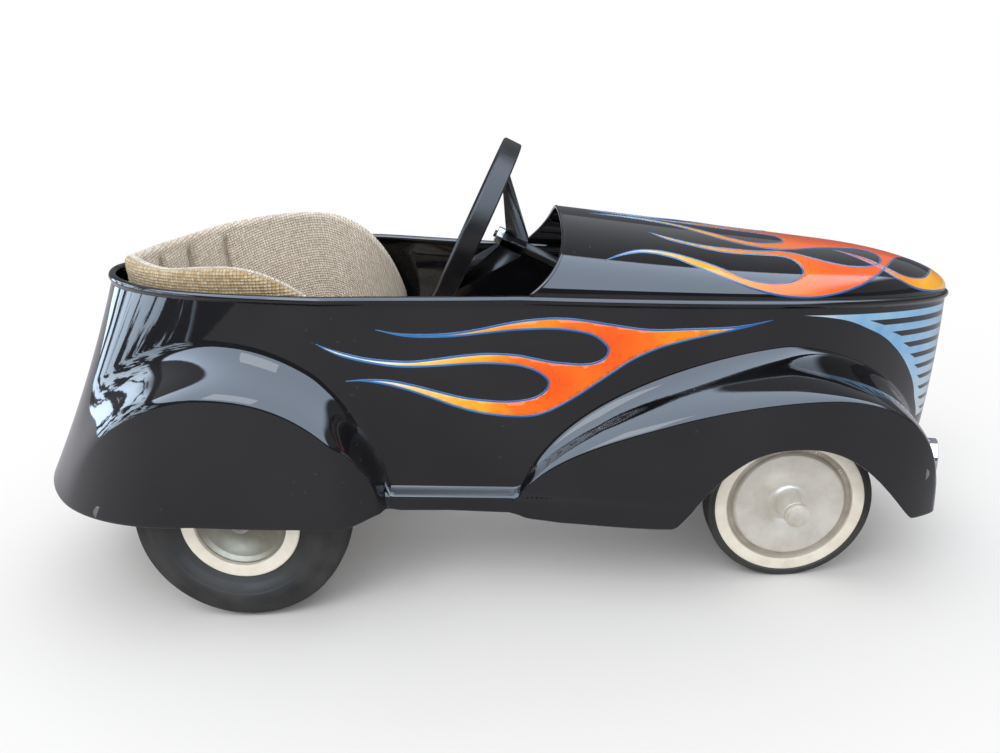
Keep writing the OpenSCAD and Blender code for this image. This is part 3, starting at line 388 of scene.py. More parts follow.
# black enamel: nearly black under a clear gloss, hairline marks, dried water spots, a few chips, and on the nose
# the pale blue bars, all on the object's own coordinates
enamel = dict(colour=(0.0035, 0.0035, 0.0042), hazy=(0.009, 0.009, 0.011), gloss=(0.025, 0.06), coatGloss=0.015,
              spot=(0.11, 0.11, 0.12), mark=(0.14, 0.14, 0.15), chip=(0.42, 0.41, 0.39),
              chips=[((-0.432, -0.186, 0.176), 0.0020), ((-0.064, -0.169, 0.263), 0.0022),
                     ((0.415, -0.199, 0.203), 0.0019), ((0.402, 0.201, 0.174), 0.0018),
                     ((-0.345, 0.2, 0.30), 0.0020)])
bars = dict(tilt=0.105, start=0.335, top=0.294, low=0.138, first=0.2863, pitch=0.01485, duty=(0.43, 0.34),
            edge=[(0.138, 0.508), (0.150, 0.5045), (0.165, 0.498), (0.187, 0.490), (0.206, 0.479), (0.225, 0.465),
                  (0.242, 0.449), (0.257, 0.431), (0.270, 0.408), (0.281, 0.385), (0.288, 0.362), (0.2945, 0.330)],
            edgeFrom=0.3, edgeSpan=0.25, band=(0.006, 0.018), slant=0.012,
            blues=[(0.0, (0.58, 0.66, 0.70)), (0.3, (0.36, 0.56, 0.72)), (0.62, (0.16, 0.40, 0.70)),
                   (0.9, (0.14, 0.37, 0.66)), (1.0, (0.22, 0.47, 0.72))],
            worn=(0.50, 0.68, 0.80), tip=(0.80, 0.86, 0.88))


def soft(value, width=0.0003):
    return remap(value, -width, width)


# where the bars are painted (the mask) and in what blue
def barPaint(where):
    b = bars
    x, _, z = place("SeparateXYZ", {0: where}).outputs
    level = timesPlus(minus(x, b["start"]), b["tilt"], z)   # follows the slope of the bars
    span = b["top"] + 0.0005 - b["low"]
    curve = place("FloatCurve", {"Value": maths("DIVIDE", minus(z, b["low"]), span)})
    points = curve.mapping.curves[0].points
    wanted = [((height - b["low"]) / span, (along - b["edgeFrom"]) / b["edgeSpan"]) for height, along in b["edge"]]
    while len(points) < len(wanted):
        points.new(0.5, 0.5)
    for point, spot in zip(points, wanted):
        point.location = spot
    curve.mapping.update()
    ahead = minus(x, timesPlus(curve.outputs[0], b["edgeSpan"], b["edgeFrom"]))
    field = times(soft(ahead), soft(minus(b["top"], level)))
    field = times(times(field, soft(minus(z, b["low"]))), attribute("outer"))
    band = remap(z, 0.17, 0.275, *b["band"])
    row = maths("DIVIDE", minus(b["first"], level), b["pitch"])
    duty = remap(level, 0.19, 0.26, b["duty"][1], b["duty"][0])
    slant = times(maths("FRACT", row), b["slant"])   # the ends of the gaps are cut on a slant
    gap = times(soft(minus(duty, maths("FRACT", row)), 0.025), soft(minus(ahead, plus(band, slant))))
    gap = times(gap, maths("GREATER_THAN", row, 0.0))
    blue = ramp(remap(level, 0.165, 0.294), b["blues"])
    blue = mixColour(times(patchy(26.0, 2.0), 0.45), blue, b["worn"])
    blue = mixColour(remap(x, 0.33, 0.375, 0.85, 0.0), blue, b["tip"])
    return times(field, minus(1.0, gap)), blue


def enamelMaterial(name, withBars):
    e = enamel
    mat = openMaterial(name)
    haze = patchy(7.0, 4.0)
    spots = useGroup(specks, Scale=75.0, Size=0.11, Rarity=0.66)["Ring"]
    marks = useGroup(scratches)["Mask"]
    rough = timesPlus(marks, 0.15, timesPlus(spots, 0.35, remap(haze, 0.0, 1.0, *e["gloss"])))
    colour = mixColour(times(spots, 0.22), mixColour(haze, e["colour"], e["hazy"]), e["spot"])
    colour = mixColour(times(marks, 0.10), colour, e["mark"])
    where = coordinates()
    if withBars:
        painted, blue = barPaint(where)
        colour = mixColour(painted, colour, blue)
    for centre, size in e["chips"]:   # a chip: within its size of a place, its outline broken by noise
        away = place("VectorMath", {0: where, 1: centre}, operation="DISTANCE").outputs["Value"]
        chip = maths("GREATER_THAN", timesPlus(noise(where, 420.0), size * 3.4, -size * 1.3), away)
        colour = mixColour(chip, colour, e["chip"])
        rough = timesPlus(chip, 0.4, rough)
    return closeMaterial(mat, colour, rough, (patchy(240.0, 2.0), 0.00002, 0.35), Specular_IOR_Level=0.35,
                         Coat_Weight=0.8, Coat_Roughness=e["coatGloss"], Coat_IOR=1.45)


bodyPaint = enamelMaterial("bodyPaint", True)
hoodPaint = enamelMaterial("hoodPaint", False)


# flame colours: red-orange where warmth is 0, over orange and amber to cream where it is 1
def flameMaterial(name, stops):
    mat = openMaterial(name)
    colour = ramp(plus(attribute("warmth"), patchy(60.0, 2.0, -0.03, 0.03)), stops, "EASE")
    return closeMaterial(mat, colour, patchy(14.0, low=0.14, high=0.24), (patchy(300.0), 0.00002, 0.3),
                         Coat_Weight=0.5, Coat_Roughness=0.04, Specular_IOR_Level=0.25)


sideFlamePaint = flameMaterial("sideFlamePaint", [
    (0.0, (1.0, 0.10, 0.0)), (0.22, (1.0, 0.16, 0.0)), (0.42, (1.0, 0.27, 0.002)), (0.62, (1.0, 0.42, 0.015)),
    (0.82, (1.0, 0.62, 0.16)), (0.96, (0.97, 0.88, 0.70))])
hoodFlamePaint = flameMaterial("hoodFlamePaint", [
    (0.0, (1.0, 0.13, 0.01)), (0.25, (1.0, 0.20, 0.0)), (0.45, (1.0, 0.32, 0.005)), (0.65, (1.0, 0.50, 0.04)),
    (0.85, (1.0, 0.74, 0.25)), (0.97, (0.95, 0.90, 0.82))])
mat = openMaterial("pinstripePaint")
stripeBlue = mixColour(patchy(18.0, 2.0), (0.012, 0.11, 0.36), (0.04, 0.20, 0.45))
pinstripePaint = closeMaterial(mat, stripeBlue, patchy(40.0, low=0.16, high=0.28), Coat_Weight=0.7,
                               Coat_Roughness=0.04, Specular_IOR_Level=0.3)


# metals and plain finishes: colour patches, grain in the gloss, and a bump of (scale, distance, strength);
# scratch is (share, colour) and dust is (scale, share, colour)
def plainFinish(name, light, dark, metal=0.0, gloss=(0.3, 0.45), scale=24.0, bump=(260.0, 0.00004, 0.4), scratch=None,
                dust=None):
    mat = openMaterial(name)
    tone = patchy(scale, 5.0)
    colour = mixColour(tone, light, dark)
    rough = remap(tone, 0.0, 1.0, *gloss)
    if scratch:
        marks = useGroup(scratches, Along=(30.0, 30.0, 300.0), Share=scratch[0])["Mask"]
        colour = mixColour(marks, colour, scratch[1])
        rough = timesPlus(marks, 0.15, rough)
    if dust:
        lying = patchy(dust[0], 6.0, 0.0, dust[1])
        colour = mixColour(lying, colour, dust[2])
        rough = timesPlus(lying, 0.5, rough)
    return closeMaterial(mat, colour, rough, (patchy(bump[0], 4.0), bump[1], bump[2]), Metallic=metal)


# (from, to, share, colour) of a darker band between two distances from the axle: rust stains and painted groove shade
def turnedFinish(name, light, dark, metal, gloss, grooveShadeAndStain=None):
    mat = openMaterial(name)
    marks = useGroup(turned)
    tone = timesPlus(marks["Ring"], 0.25, times(marks["Stain"], 0.6))
    colour = mixColour(tone, light, dark)
    if grooveShadeAndStain:
        inner, outer, share, stainAndShade = grooveShadeAndStain
        middle, half, blur = (inner + outer) / 2, (outer - inner) / 2, 0.0012
        # painted shade and stains: the band darkens the colour between the two distances
        band = remap(maths("ABSOLUTE", minus(attribute("fromAxle"), middle)), half + blur, half - blur)
        colour = mixColour(times(band, patchy(45.0, 4.0, share * 0.5, share)), colour, stainAndShade)
    return closeMaterial(mat, colour, remap(tone, 0.0, 1.0, *gloss), (marks["Ring"], 0.00006, 0.6), Metallic=metal)


# front discs: a brown band round the outer edge, rust stains with painted shade of the groove by the ring
discSteel = turnedFinish("discSteel", (0.86, 0.83, 0.76), (0.58, 0.53, 0.44), 0.40, (0.34, 0.52),
                         grooveShadeAndStain=(0.0605, 0.068, 0.75, (0.26, 0.20, 0.13)))
# rear discs: the same steel as the front discs drawn much darker, with painted shade of the deep rear wheel arches in
# it
rearDiscSteel = turnedFinish("rearDiscSteel", (0.36, 0.335, 0.26), (0.17, 0.155, 0.115), 0.6, (0.36, 0.52))
ringPaint = plainFinish("ringPaint", (0.95, 0.91, 0.81), (0.86, 0.80, 0.68), 0.0, (0.28, 0.42), 30.0,
                        dust=(70.0, 0.22, (0.36, 0.30, 0.23)))
chrome = plainFinish("chrome", (0.86, 0.87, 0.88), (0.74, 0.75, 0.76), 1.0, (0.05, 0.14), 40.0,
                     scratch=(0.03, (0.5, 0.5, 0.5)))
plainFinish("platedSteel", (0.68, 0.67, 0.63), (0.46, 0.44, 0.39), 0.95, (0.25, 0.42), 60.0,
            dust=(90.0, 0.15, (0.22, 0.17, 0.12)))
plainFinish("capSteel", (0.85, 0.82, 0.74), (0.62, 0.58, 0.49), 0.45, (0.3, 0.45), 60.0)
plainFinish("bareSteel", (0.42, 0.41, 0.40), (0.25, 0.235, 0.22), 0.9, (0.34, 0.52), 45.0,
            scratch=(0.05, (0.55, 0.54, 0.52)), dust=(60.0, 0.3, (0.13, 0.075, 0.04)))
plainFinish("framePaint", (0.010, 0.010, 0.011), (0.022, 0.021, 0.020), 0.0, (0.24, 0.40), 20.0,
            scratch=(0.04, (0.10, 0.10, 0.10)), dust=(35.0, 0.16, (0.11, 0.095, 0.075)))
plainFinish("shellPaint", (0.009, 0.009, 0.010), (0.020, 0.020, 0.020), 0.0, (0.20, 0.34), 16.0,
            dust=(40.0, 0.12, (0.10, 0.09, 0.075)))
wheelBlack = plainFinish("wheelBlack", (0.007, 0.007, 0.008), (0.016, 0.016, 0.017), 0.0, (0.26, 0.40), 26.0,
                         (520.0, 0.00006, 0.5), scratch=(0.05, (0.05, 0.05, 0.05)))
tyreRubber = plainFinish("tyreRubber", (0.014, 0.014, 0.014), (0.034, 0.032, 0.029), 0.0, (0.5, 0.72), 30.0,
                         (700.0, 0.00010, 0.6), dust=(55.0, 0.25, (0.075, 0.067, 0.056)))
plainFinish("pedalRubber", (0.013, 0.013, 0.013), (0.030, 0.029, 0.027), 0.0, (0.55, 0.8), 50.0,
            (600.0, 0.00012, 0.7), dust=(80.0, 0.4, (0.10, 0.09, 0.075)))

mat = openMaterial("lampGlass")
glassTint = mixColour(patchy(60.0), (0.72, 0.90, 0.82), (0.60, 0.82, 0.74))
lampGlass = closeMaterial(mat, glassTint, patchy(90.0, low=0.03, high=0.10), (patchy(120.0), 0.0001, 0.2),
                          Transmission_Weight=0.9, IOR=1.5, Metallic=0.0)

# plywood: long noise along the grain, dark streaks
mat = openMaterial("boardWood")
grain = place("Mapping", {"Vector": coordinates(), "Scale": (9.0, 90.0, 90.0)}).outputs[0]
fibre = noise(grain, 1.5, 8.0, Distortion=0.6)
woodTint = ramp(fibre, [(0.25, (0.30, 0.17, 0.075)), (0.5, (0.48, 0.30, 0.15)), (0.75, (0.60, 0.41, 0.22))])
closeMaterial(mat, woodTint, patchy(20.0, low=0.5, high=0.7), (fibre, 0.0003, 0.4), Specular_IOR_Level=0.35)


# woven cover: yarn colours by cell, random darker patches, painted shade in the gaps and along the sewn channels, with
# a little sheen
def weaveMaterial(name, cell, wide, yarns, shadeAndToneColour, depth, turn=0.0):
    mat = openMaterial(name)
    cloth = useGroup(basket, Cell=cell, Wide=wide, Turn=turn)
    fleck = noise(place("UVMap").outputs[0], 700.0, 3.0)
    colour = ramp(timesPlus(fleck, 0.5, timesPlus(cloth["Yarn"], 0.55, -0.03)), yarns)
    # darker: random patches, painted shade in the gaps between yarns, painted shade along the sewn channels
    for share in (patchy(14.0, 4.0, 0.0, 0.22), times(cloth["Gap"], 0.85), times(attribute("sewn"), 0.55)):
        colour = mixColour(share, colour, shadeAndToneColour)
    return closeMaterial(mat, colour, remap(cloth["Height"], 0.0, 1.0, 0.95, 0.72),
                         (timesPlus(fleck, 0.25, cloth["Height"]), depth, 0.9), Specular_IOR_Level=0.25,
                         Sheen_Weight=0.35, Sheen_Roughness=0.5)


# the last colour of each cover is the dark colour of its random patches and of the painted shade
weaveInner = weaveMaterial("weaveInner", 300.0, 1.15, [
    (0.1, (0.66, 0.57, 0.46)), (0.4, (0.84, 0.75, 0.635)), (0.65, (0.93, 0.85, 0.735)), (0.9, (0.96, 0.91, 0.82))],
    (0.33, 0.26, 0.20), 0.0013, turn=0.12)
weaveOuter = weaveMaterial("weaveOuter", 320.0, 1.25, [
    (0.1, (0.46, 0.31, 0.14)), (0.4, (0.66, 0.49, 0.26)), (0.65, (0.78, 0.63, 0.40)), (0.9, (0.86, 0.77, 0.60))],
    (0.15, 0.095, 0.05), 0.0015)
print("materials made:", len(bpy.data.materials))


# body form, in millimetres; the same curves as the pressed body of the part
body = dict(midX=-12.9, tailX=-436.0, noseX=556.0, sheet=2.5, beadR=4.5, beadSteps=17, rows=112, rowsIn=26,
            cowlSweep=39.0, foot=178.0, skirt=190.0, doorHalf=200.0, hoodHalf=168.0, rearHalf=237.0, frontHalf=206.0,
            tailTop=358.0, tailDrop=233.0, noseTop=285.0, noseDrop=160.0, lampGap=0.1)


def clip01(t):
    return np.clip(t, 0, 1)


def positive(t):
    return np.maximum(0, t)


def smoothStep(t):
    c = clip01(t)
    return c * c * (3 - 2 * c)


def beltHeight(u):
    return 339.8 - 0.0655 * u - 0.0000548 * u * u + 4 * np.exp(-((u + 190) / 130) ** 2)


def tailLine(z):
    t = (body["tailTop"] - z) / body["tailDrop"]
    return body["tailX"] - 84 * t - 20 * t * t


def noseLine(z):
    t = (body["noseTop"] - z) / body["noseDrop"]
    return body["noseX"] + 2 * t - 10 * t * t


# half width without fenders: a rounded tail, straight doors, then a hood that narrows to the nose
def wallHalf(u, z):
    b = body
    t = clip01((b["tailTop"] - z) / b["tailDrop"])
    k = smoothStep((-300 - u) / 160)
    w = b["doorHalf"] + 32 * t * k
    d = clip01((u - tailLine(z)) / (290 - 60 * t * k))
    tail = w * positive(1 - (1 - d) ** (1.9 + 0.1 * t)) ** (1 / (1.6 + 0.4 * t * k))
    door = b["doorHalf"] - (b["doorHalf"] - b["hoodHalf"]) * clip01((u + 150) / 190)
    s = clip01((u - 40) / (noseLine(z) - 40))
    hood = b["hoodHalf"] * positive(1 - s ** 2.2) ** 0.6667
    return np.where(u < -150, tail, np.where(u < 40, door, hood))


# the same with the foot of the door drawn to one line along the running board
def plainHalf(u, z):
    wall = wallHalf(u, z)
    share = smoothStep((270 - z) / 130) * smoothStep((u + 230) / 80) * smoothStep((140 - u) / 100)
    return wall + (body["foot"] - wall) * share


# a superellipse arch: how far towards its end a place lies, as a share, and the power used on that side
def archReach(u, centre, back, backN, fore, foreN):
    d = u - centre
    return np.abs(d / np.where(d < 0, back, fore)), np.where(d < 0, backN, foreN)


# level of an arch: 1 on its line
def archLevel(u, z, centre, peak, base, *ends):
    reach, n = archReach(u, centre, *ends)
    return (reach ** n + (positive(z - base) / (peak - base)) ** n) ** (1 / n)


def archTop(u, centre, peak, base, *ends):
    reach, n = archReach(u, centre, *ends)
    return base + (peak - base) * positive(1 - reach ** n) ** (1 / n)


arches = dict(rearCrease=(-265, 308, 120, 255, 1.7, 163, 2.3), rearFace=(-270, 263, 120, 177, 1.7, 158, 2.0),
              frontCrease=(318, 264, 110, 285, 1.9, 205, 1.6), frontFace=(345, 226, 90, 330, 1.8, 130, 2.2))


# share of a fender's bulge: 0 above its crease, 1 on its face
def bulgeShare(u, z, end):
    a = positive(1 - archLevel(u, z, *arches[end + "Crease"]))
    b = positive(archLevel(u, z, *arches[end + "Face"]) - 1)
    t = a / np.maximum(a + b, 1e-6)
    return t ** 1.6 / (t ** 1.6 + (1 - t) ** 1.6)


# upper line of the running board's step
def stepLine(u):
    return 136 - 0.055 * (u + 40)


def halfWidth(u, z):
    base = plainHalf(u, z)
    d = clip01((u - tailLine(z)) / 235)
    skirt = body["skirt"]
    rearFull = body["rearHalf"] * np.sqrt(positive(1 - (1 - d) ** 2))
    rearReach = skirt + (rearFull - skirt) * smoothStep((-93 - u) / 58)
    t = clip01((u - 350) / 187)
    frontFull = body["frontHalf"] * positive(1 - t ** 3) ** 0.3333
    frontReach = skirt + (frontFull - skirt) * smoothStep((u - 28) / 160)
    board = smoothStep((stepLine(u) - z) / 8) * clip01((u + 330) / 80) * clip01((300 - u) / 80)
    r = positive(rearReach - base) * bulgeShare(u, z, "rear")
    f = positive(frontReach - base) * bulgeShare(u, z, "front")
    s = positive(skirt - base) * board
    return base + (r ** 5 + f ** 5 + s ** 5) ** 0.2


edgeU = (-560, -298, -241, -172, -104, -92, -40, 23, 45, 77, 188, 300, 436, 480, 500, 515, 535, 560)
edgeZ = (131, 130, 125.5, 122, 118.5, 116, 114, 108.5, 101, 96.5, 91, 88, 88, 87, 95, 106, 116, 120)


def lowerEdge(u):
    arch = 88 * positive(1 - np.abs((u - 318) / np.where(u < 318, 123, 130)) ** 2.4) ** 1.3
    return np.interp(u, edgeU, edgeZ) + arch


def crownHeight(u):
    t = clip01((u - 405) / (body["noseX"] - 405))
    return (402 - 0.166 * (u - 93) - beltHeight(u)) * np.sqrt(positive(1 - t ** 2.3))


# where a station lies at a height: the tail leans back and the nose leans in
def leanTo(p, z):
    a = clip01((-200 - p) / 236) ** 1.3
    b = clip01((p - 400) / 156) ** 1.3
    return p + a * (tailLine(z) - body["tailX"]) + b * (noseLine(z) - body["noseX"])


def higherArch(u, line):
    return np.maximum(archTop(u, *arches["rear" + line]), archTop(u, *arches["front" + line]))


def rowHeight(u, v, top, low):
    crease = np.clip(np.maximum(stepLine(u) + 1, higherArch(u, "Crease")), low + 8, top - 20)
    face = np.clip(np.maximum(stepLine(u) - 9, higherArch(u, "Face")), low + 3, crease - 4)
    upper = top + (crease - top) * v / 0.36
    mid = crease + (face - crease) * (v - 0.36) / 0.36
    lower = face + (low - face) * (v - 0.72) / 0.28
    return np.where(v < 0.36, upper, np.where(v < 0.72, mid, lower))


# a point of the outer wall, in mm: p is a station from tail to nose, v goes from the belt to the lower edge
def skinPoint(p, v):
    top = beltHeight(leanTo(p, 350)) - 1.8 * body["beadR"]
    low = lowerEdge(leanTo(p, 125))
    z = rowHeight(leanTo(p, 200), v, top, low)
    u = leanTo(p, z)
    return np.stack([u + body["midX"], -halfWidth(u, z), z], -1)


# a point of the hood, in mm: p is a station, angle goes from 0 at the right edge over the top to 180
def hoodPoint(p, angle, inset=0.0):
    s = np.sin(np.radians(angle))
    u0 = leanTo(p, 350)
    u = u0 + body["cowlSweep"] * (1 - (1 - s) ** 2.3) * clip01(1 - (p - 54) / 300) ** 1.2
    w0 = positive(halfWidth(u0, beltHeight(u0)) - 1.2 - inset)
    w1 = positive(halfWidth(u, beltHeight(u)) - 1.2 - inset)
    w = w0 + (w1 - w0) * s
    h = positive(crownHeight(u) - inset * smoothStep(s * 6))
    return np.stack([u + body["midX"], -w * np.cos(np.radians(angle)), beltHeight(u) + 0.1 + h * s], -1)


# pressed body
tailStations = body["tailX"] + 1.9 * np.arange(0, 12, 0.25) ** 1.9
noseStations = body["noseX"] - 3 * np.arange(9, -0.001, -0.2) ** 1.7
bodyStations = np.concatenate([tailStations, np.arange(-222, 430, 5.0), noseStations])


# the body as one closed ring of sections: down the outer face, round the lower edge, up the inner face, over the
# rolled rim; the right half is worked out and the left half is its mirror
def makeBody():
    b = body
    v = np.linspace(0, 1, b["rows"] + 1)
    v[0] = 0.006
    p = bodyStations[:, None]
    right = skinPoint(p, v[None, :])
    ring = np.concatenate([right, (right * (1, -1, 1))[-2:0:-1]])
    alongRing = np.roll(ring, -1, 0) - np.roll(ring, 1, 0)
    normal = unitRows(np.cross(np.gradient(ring, axis=1), alongRing))
    flat = unitRows(normal[:, 0] * (1, 1, 0))
    belt = skinPoint(bodyStations, 0.0)
    top = np.concatenate([belt, (belt * (1, -1, 1))[-2:0:-1]])
    middle = top - flat * b["sheet"] / 2 + (0, 0, 0.8 * b["beadR"])
    n = b["beadSteps"]
    a = np.radians(232 - 284 * np.arange(n) / (n - 1))[None, :, None]
    bead = middle[:, None] + b["beadR"] * (flat[:, None] * np.cos(a) + np.array((0, 0, 1)) * np.sin(a))
    pick = np.linspace(0, b["rows"], b["rowsIn"] + 1).round().astype(int)[::-1]
    inner = ring[:, pick] - b["sheet"] * normal[:, pick]
    down = unitRows(ring[:, -1] - ring[:, -3])
    a = np.radians((45, 90, 135))[None, :, None]
    hem = 0.5 * (ring[:, -1] + inner[:, 0])[:, None] + b["sheet"] / 2 * (
        normal[:, -1][:, None] * np.cos(a) + down[:, None] * np.sin(a))
    points = np.concatenate([bead, ring, hem, inner], axis=1)
    outer = np.zeros(points.shape[:2])
    outer[:, n:n + b["rows"] + 2] = 1
    faces = quadGrid(points.shape[0], points.shape[1], True, True)
    return addPiece("bodySkin", points, flipFaces(faces), bodyPaint, "car_body",
                    layers=dict(outer=outer), sharp=50, node="body_shell")


lamp = dict(x=475.1, y=138.0, z=130.0, yaw=20.0, radius=20.5)


# a plain cylinder used as a cutter, then thrown away
def cutHole(obj, centre, axis, radius, back, ahead):
    mesh = bpy.data.meshes.new("cutter")
    axis = unitRows(np.asarray(axis, float))
    first = unitRows(np.cross(axis, (0, 0, 1)))
    second = np.cross(axis, first)
    n = 96
    turn = circle(n)[:, None]
    edge = radius * (np.cos(turn) * first + np.sin(turn) * second)
    points = np.concatenate([centre + edge - axis * back, centre + edge + axis * ahead]) / 1000
    faces = [(k, (k + 1) % n, n + (k + 1) % n, n + k) for k in range(n)]
    faces += [tuple(range(n))[::-1], tuple(range(n, 2 * n))]
    mesh.from_pydata(points, [], faces)
    cutter = link("cutter", mesh)
    modifier = obj.modifiers.new("hole", "BOOLEAN")
    modifier.operation = "DIFFERENCE"
    modifier.solver = "EXACT"
    modifier.object = cutter
    applyModifiers(obj)
    bpy.data.objects.remove(cutter)
    bpy.data.meshes.remove(mesh)


def applyModifiers(obj):
    evaluated = obj.evaluated_get(bpy.context.evaluated_depsgraph_get())
    mesh = bpy.data.meshes.new_from_object(evaluated, preserve_all_data_layers=True,
                                           depsgraph=bpy.context.evaluated_depsgraph_get())
    old = obj.data
    obj.modifiers.clear()
    obj.data = mesh
    bpy.data.meshes.remove(old)
    mesh.name = obj.name


def lampFrame(sign):
    yaw = math.radians(lamp["yaw"])
    return np.array((lamp["x"], sign * lamp["y"], lamp["z"])), np.array((math.cos(yaw), sign * math.sin(yaw), 0.0))


bodySkin = makeBody()
for sign, _ in sides:
    cutHole(bodySkin, *lampFrame(sign), lamp["radius"] + body["lampGap"], 60, 30)
print("body:", len(bodySkin.data.polygons), "faces")


# hood
hood = dict(startX=54.0, columns=120, sheet=2.5, lip=2.1)
hoodStations = bodyStations[bodyStations > hood["startX"] - 1]
hoodStations[0] = hood["startX"]


# the hood is a shell: its outer face from right edge to left edge, then the inner face back
def makeHood():
    angle = np.linspace(0, 180, hood["columns"] + 1)
    outside = hoodPoint(hoodStations[:, None], angle[None, :])
    inside = hoodPoint(hoodStations[:, None], angle[None, ::-1], hood["sheet"])
    points = np.concatenate([outside, inside], axis=1)
    n, m = points.shape[:2]
    faces = [tuple(f) for f in quadGrid(n, m, False, True)]
    half = m // 2
    for row, turned in ((0, False), (n - 1, True)):   # close the two ends between the outer and inner line
        for k in range(half - 1):
            quad = (row * m + k, row * m + k + 1, row * m + m - 2 - k, row * m + m - 1 - k)
            faces.append(quad if turned else quad[::-1])
    return addPiece("hoodSkin", points, faces, hoodPaint, "car_body", sharp=40, node="hood_shell")


def tidyMesh(obj, distance=0.00001):
    bm = bmesh.new()
    bm.from_mesh(obj.data)
    bmesh.ops.remove_doubles(bm, verts=bm.verts, dist=distance)
    bmesh.ops.dissolve_degenerate(bm, edges=bm.edges, dist=distance / 2)
    bmesh.ops.recalc_face_normals(bm, faces=bm.faces)
    bm.to_mesh(obj.data)
    bm.free()
    obj.data.update()


hoodSkin = makeHood()
tidyMesh(hoodSkin)
lipPath = hoodPoint(np.full(121, hood["startX"] + 0.6), np.linspace(0, 180, 121), 1.6)
tubeAlong("hoodLip", lipPath, hood["lip"], hoodPaint, 16, up=(1, 0, 0))
print("hood:", len(hoodSkin.data.polygons), "faces")


# flames
# control points, millimetres: along the car and up, on the door side
sideFlame = dict(
    top=[(292, 294), (253, 290.5), (203, 292.5), (161, 295), (123, 302.5), (91, 309.5), (66, 312.5), (41, 312),
         (13, 309.5), (-15, 306), (-40, 304.5), (-65, 305.5), (-89, 308.5), (-112, 315)],
    gapOne=[(-112, 315), (-89, 307.5), (-65, 303.6), (-34, 302), (-3, 302.5), (28, 303), (60, 302.5), (85, 299),
            (104, 293), (116, 283), (119, 276), (115, 268), (105, 263.5), (91, 262.5), (75, 264.5), (59, 267),
            (40, 272), (21, 276.5), (-4, 280), (-29, 280.5), (-54, 279.5), (-79, 279), (-103, 282), (-127, 287.5),
            (-150, 296), (-170, 305.5)],
    gapTwo=[(-170, 305.5), (-150, 293), (-127, 284.3), (-104, 277.7), (-83, 274.3), (-55, 272.6), (-30, 272),
            (-5, 270.5), (20, 266.5), (39, 261), (52, 253), (57, 245), (53, 236), (42, 229.5), (25, 226.7),
            (6, 227.7), (-13, 231), (-32, 235.6), (-57, 244.6), (-81, 254), (-105, 261.4), (-129, 264.8),
            (-146, 265)],
    low=[(-146, 265), (-129, 263.8), (-109, 258.7), (-88, 250.5), (-64, 239), (-39, 226.7), (-14, 217.7), (12, 212),
         (35, 210.4), (54, 214), (77, 224), (100, 237.7), (123, 252.4), (145, 265.5), (171, 275.3), (200, 281.4),
         (233, 286), (263, 289.7), (292, 294)])
# station along the hood and angle round it, 0 at the right edge and 90 on the crown
hoodFlame = dict(
    lower=[(106, 31), (123, 36), (145, 40), (167, 40), (189, 37), (208, 32), (230, 26), (255, 19), (280, 12),
           (305, 6.5), (331, 3.5), (356, 4), (381, 8.5), (410, 18), (430, 28), (452, 43), (473, 61), (490, 75),
           (508, 82), (524, 83), (540, 83), (548, 90)],
    gapOne=[(163, 63), (187, 58.5), (213, 54.5), (238, 52.5), (265, 52), (292, 52), (321, 54), (344, 53), (361, 49),
            (380, 44.5), (402, 41), (426, 42), (445, 48), (453, 58), (452, 67), (440, 73), (414, 70.5), (381, 65.5),
            (351, 59.5), (322, 57), (296, 58), (270, 61.5), (247, 66.5), (224, 73.5), (201, 79), (170, 83),
            (134, 85), (96, 84)],
    gapTwo=[(106, 31), (123, 37), (145, 42), (169, 43), (191, 41), (209, 38), (228, 34), (250, 28), (268, 22),
            (287, 18.5), (305, 17.5), (325, 20), (339, 27), (343, 33), (341, 40), (333, 46), (317, 48), (289, 47.5),
            (262, 47), (237, 48.5), (211, 52), (186, 56), (163, 63)],
    gapThree=[(96, 84), (136, 87.5), (173, 87), (204, 83), (228, 78), (252, 72.5), (275, 67), (300, 64), (326, 66),
              (340, 70), (344, 77), (338, 83), (318, 85), (289, 85.5), (259, 86.5), (233, 87.5), (200, 89),
              (150, 90)],
    lickUp=[(398, 65), (414, 61), (433, 54), (449, 44.5), (467, 34.5), (486, 30), (505, 33.5), (519, 48), (527, 64),
            (533, 76), (540, 84), (548, 90)],
    lickLow=[(398, 65), (413, 59), (430, 49), (446, 39), (464, 26), (486, 14), (509, 8), (530, 6), (552, 8)])
paint = dict(lift=0.22, noseLift=0.34, sink=0.25, stripe=1.15, spacing=5.0, turnScale=3.2, weld=0.0000005)


def sideSpot(uv, lift, sign):
    x, z = uv[..., 0], uv[..., 1]
    return np.stack([x, sign * (halfWidth(x - body["midX"], z) + lift), z], -1)


def hoodSpot(uv, lift, sign):
    spot = hoodPoint(uv[..., 0], uv[..., 1] / paint["turnScale"], -lift)
    return spot * (1, -sign, 1)


def insideLoop(points, loop):
    x, y = points[:, 0][:, None], points[:, 1][:, None]
    x0, y0 = loop[:, 0][None], loop[:, 1][None]
    x1, y1 = np.roll(loop[:, 0], -1)[None], np.roll(loop[:, 1], -1)[None]
    crosses = (y0 > y) != (y1 > y)
    cut = x0 + (y - y0) / np.where(y1 == y0, 1e-9, y1 - y0) * (x1 - x0)
    return (np.sum(crosses & (x < cut), axis=1) % 2) == 1


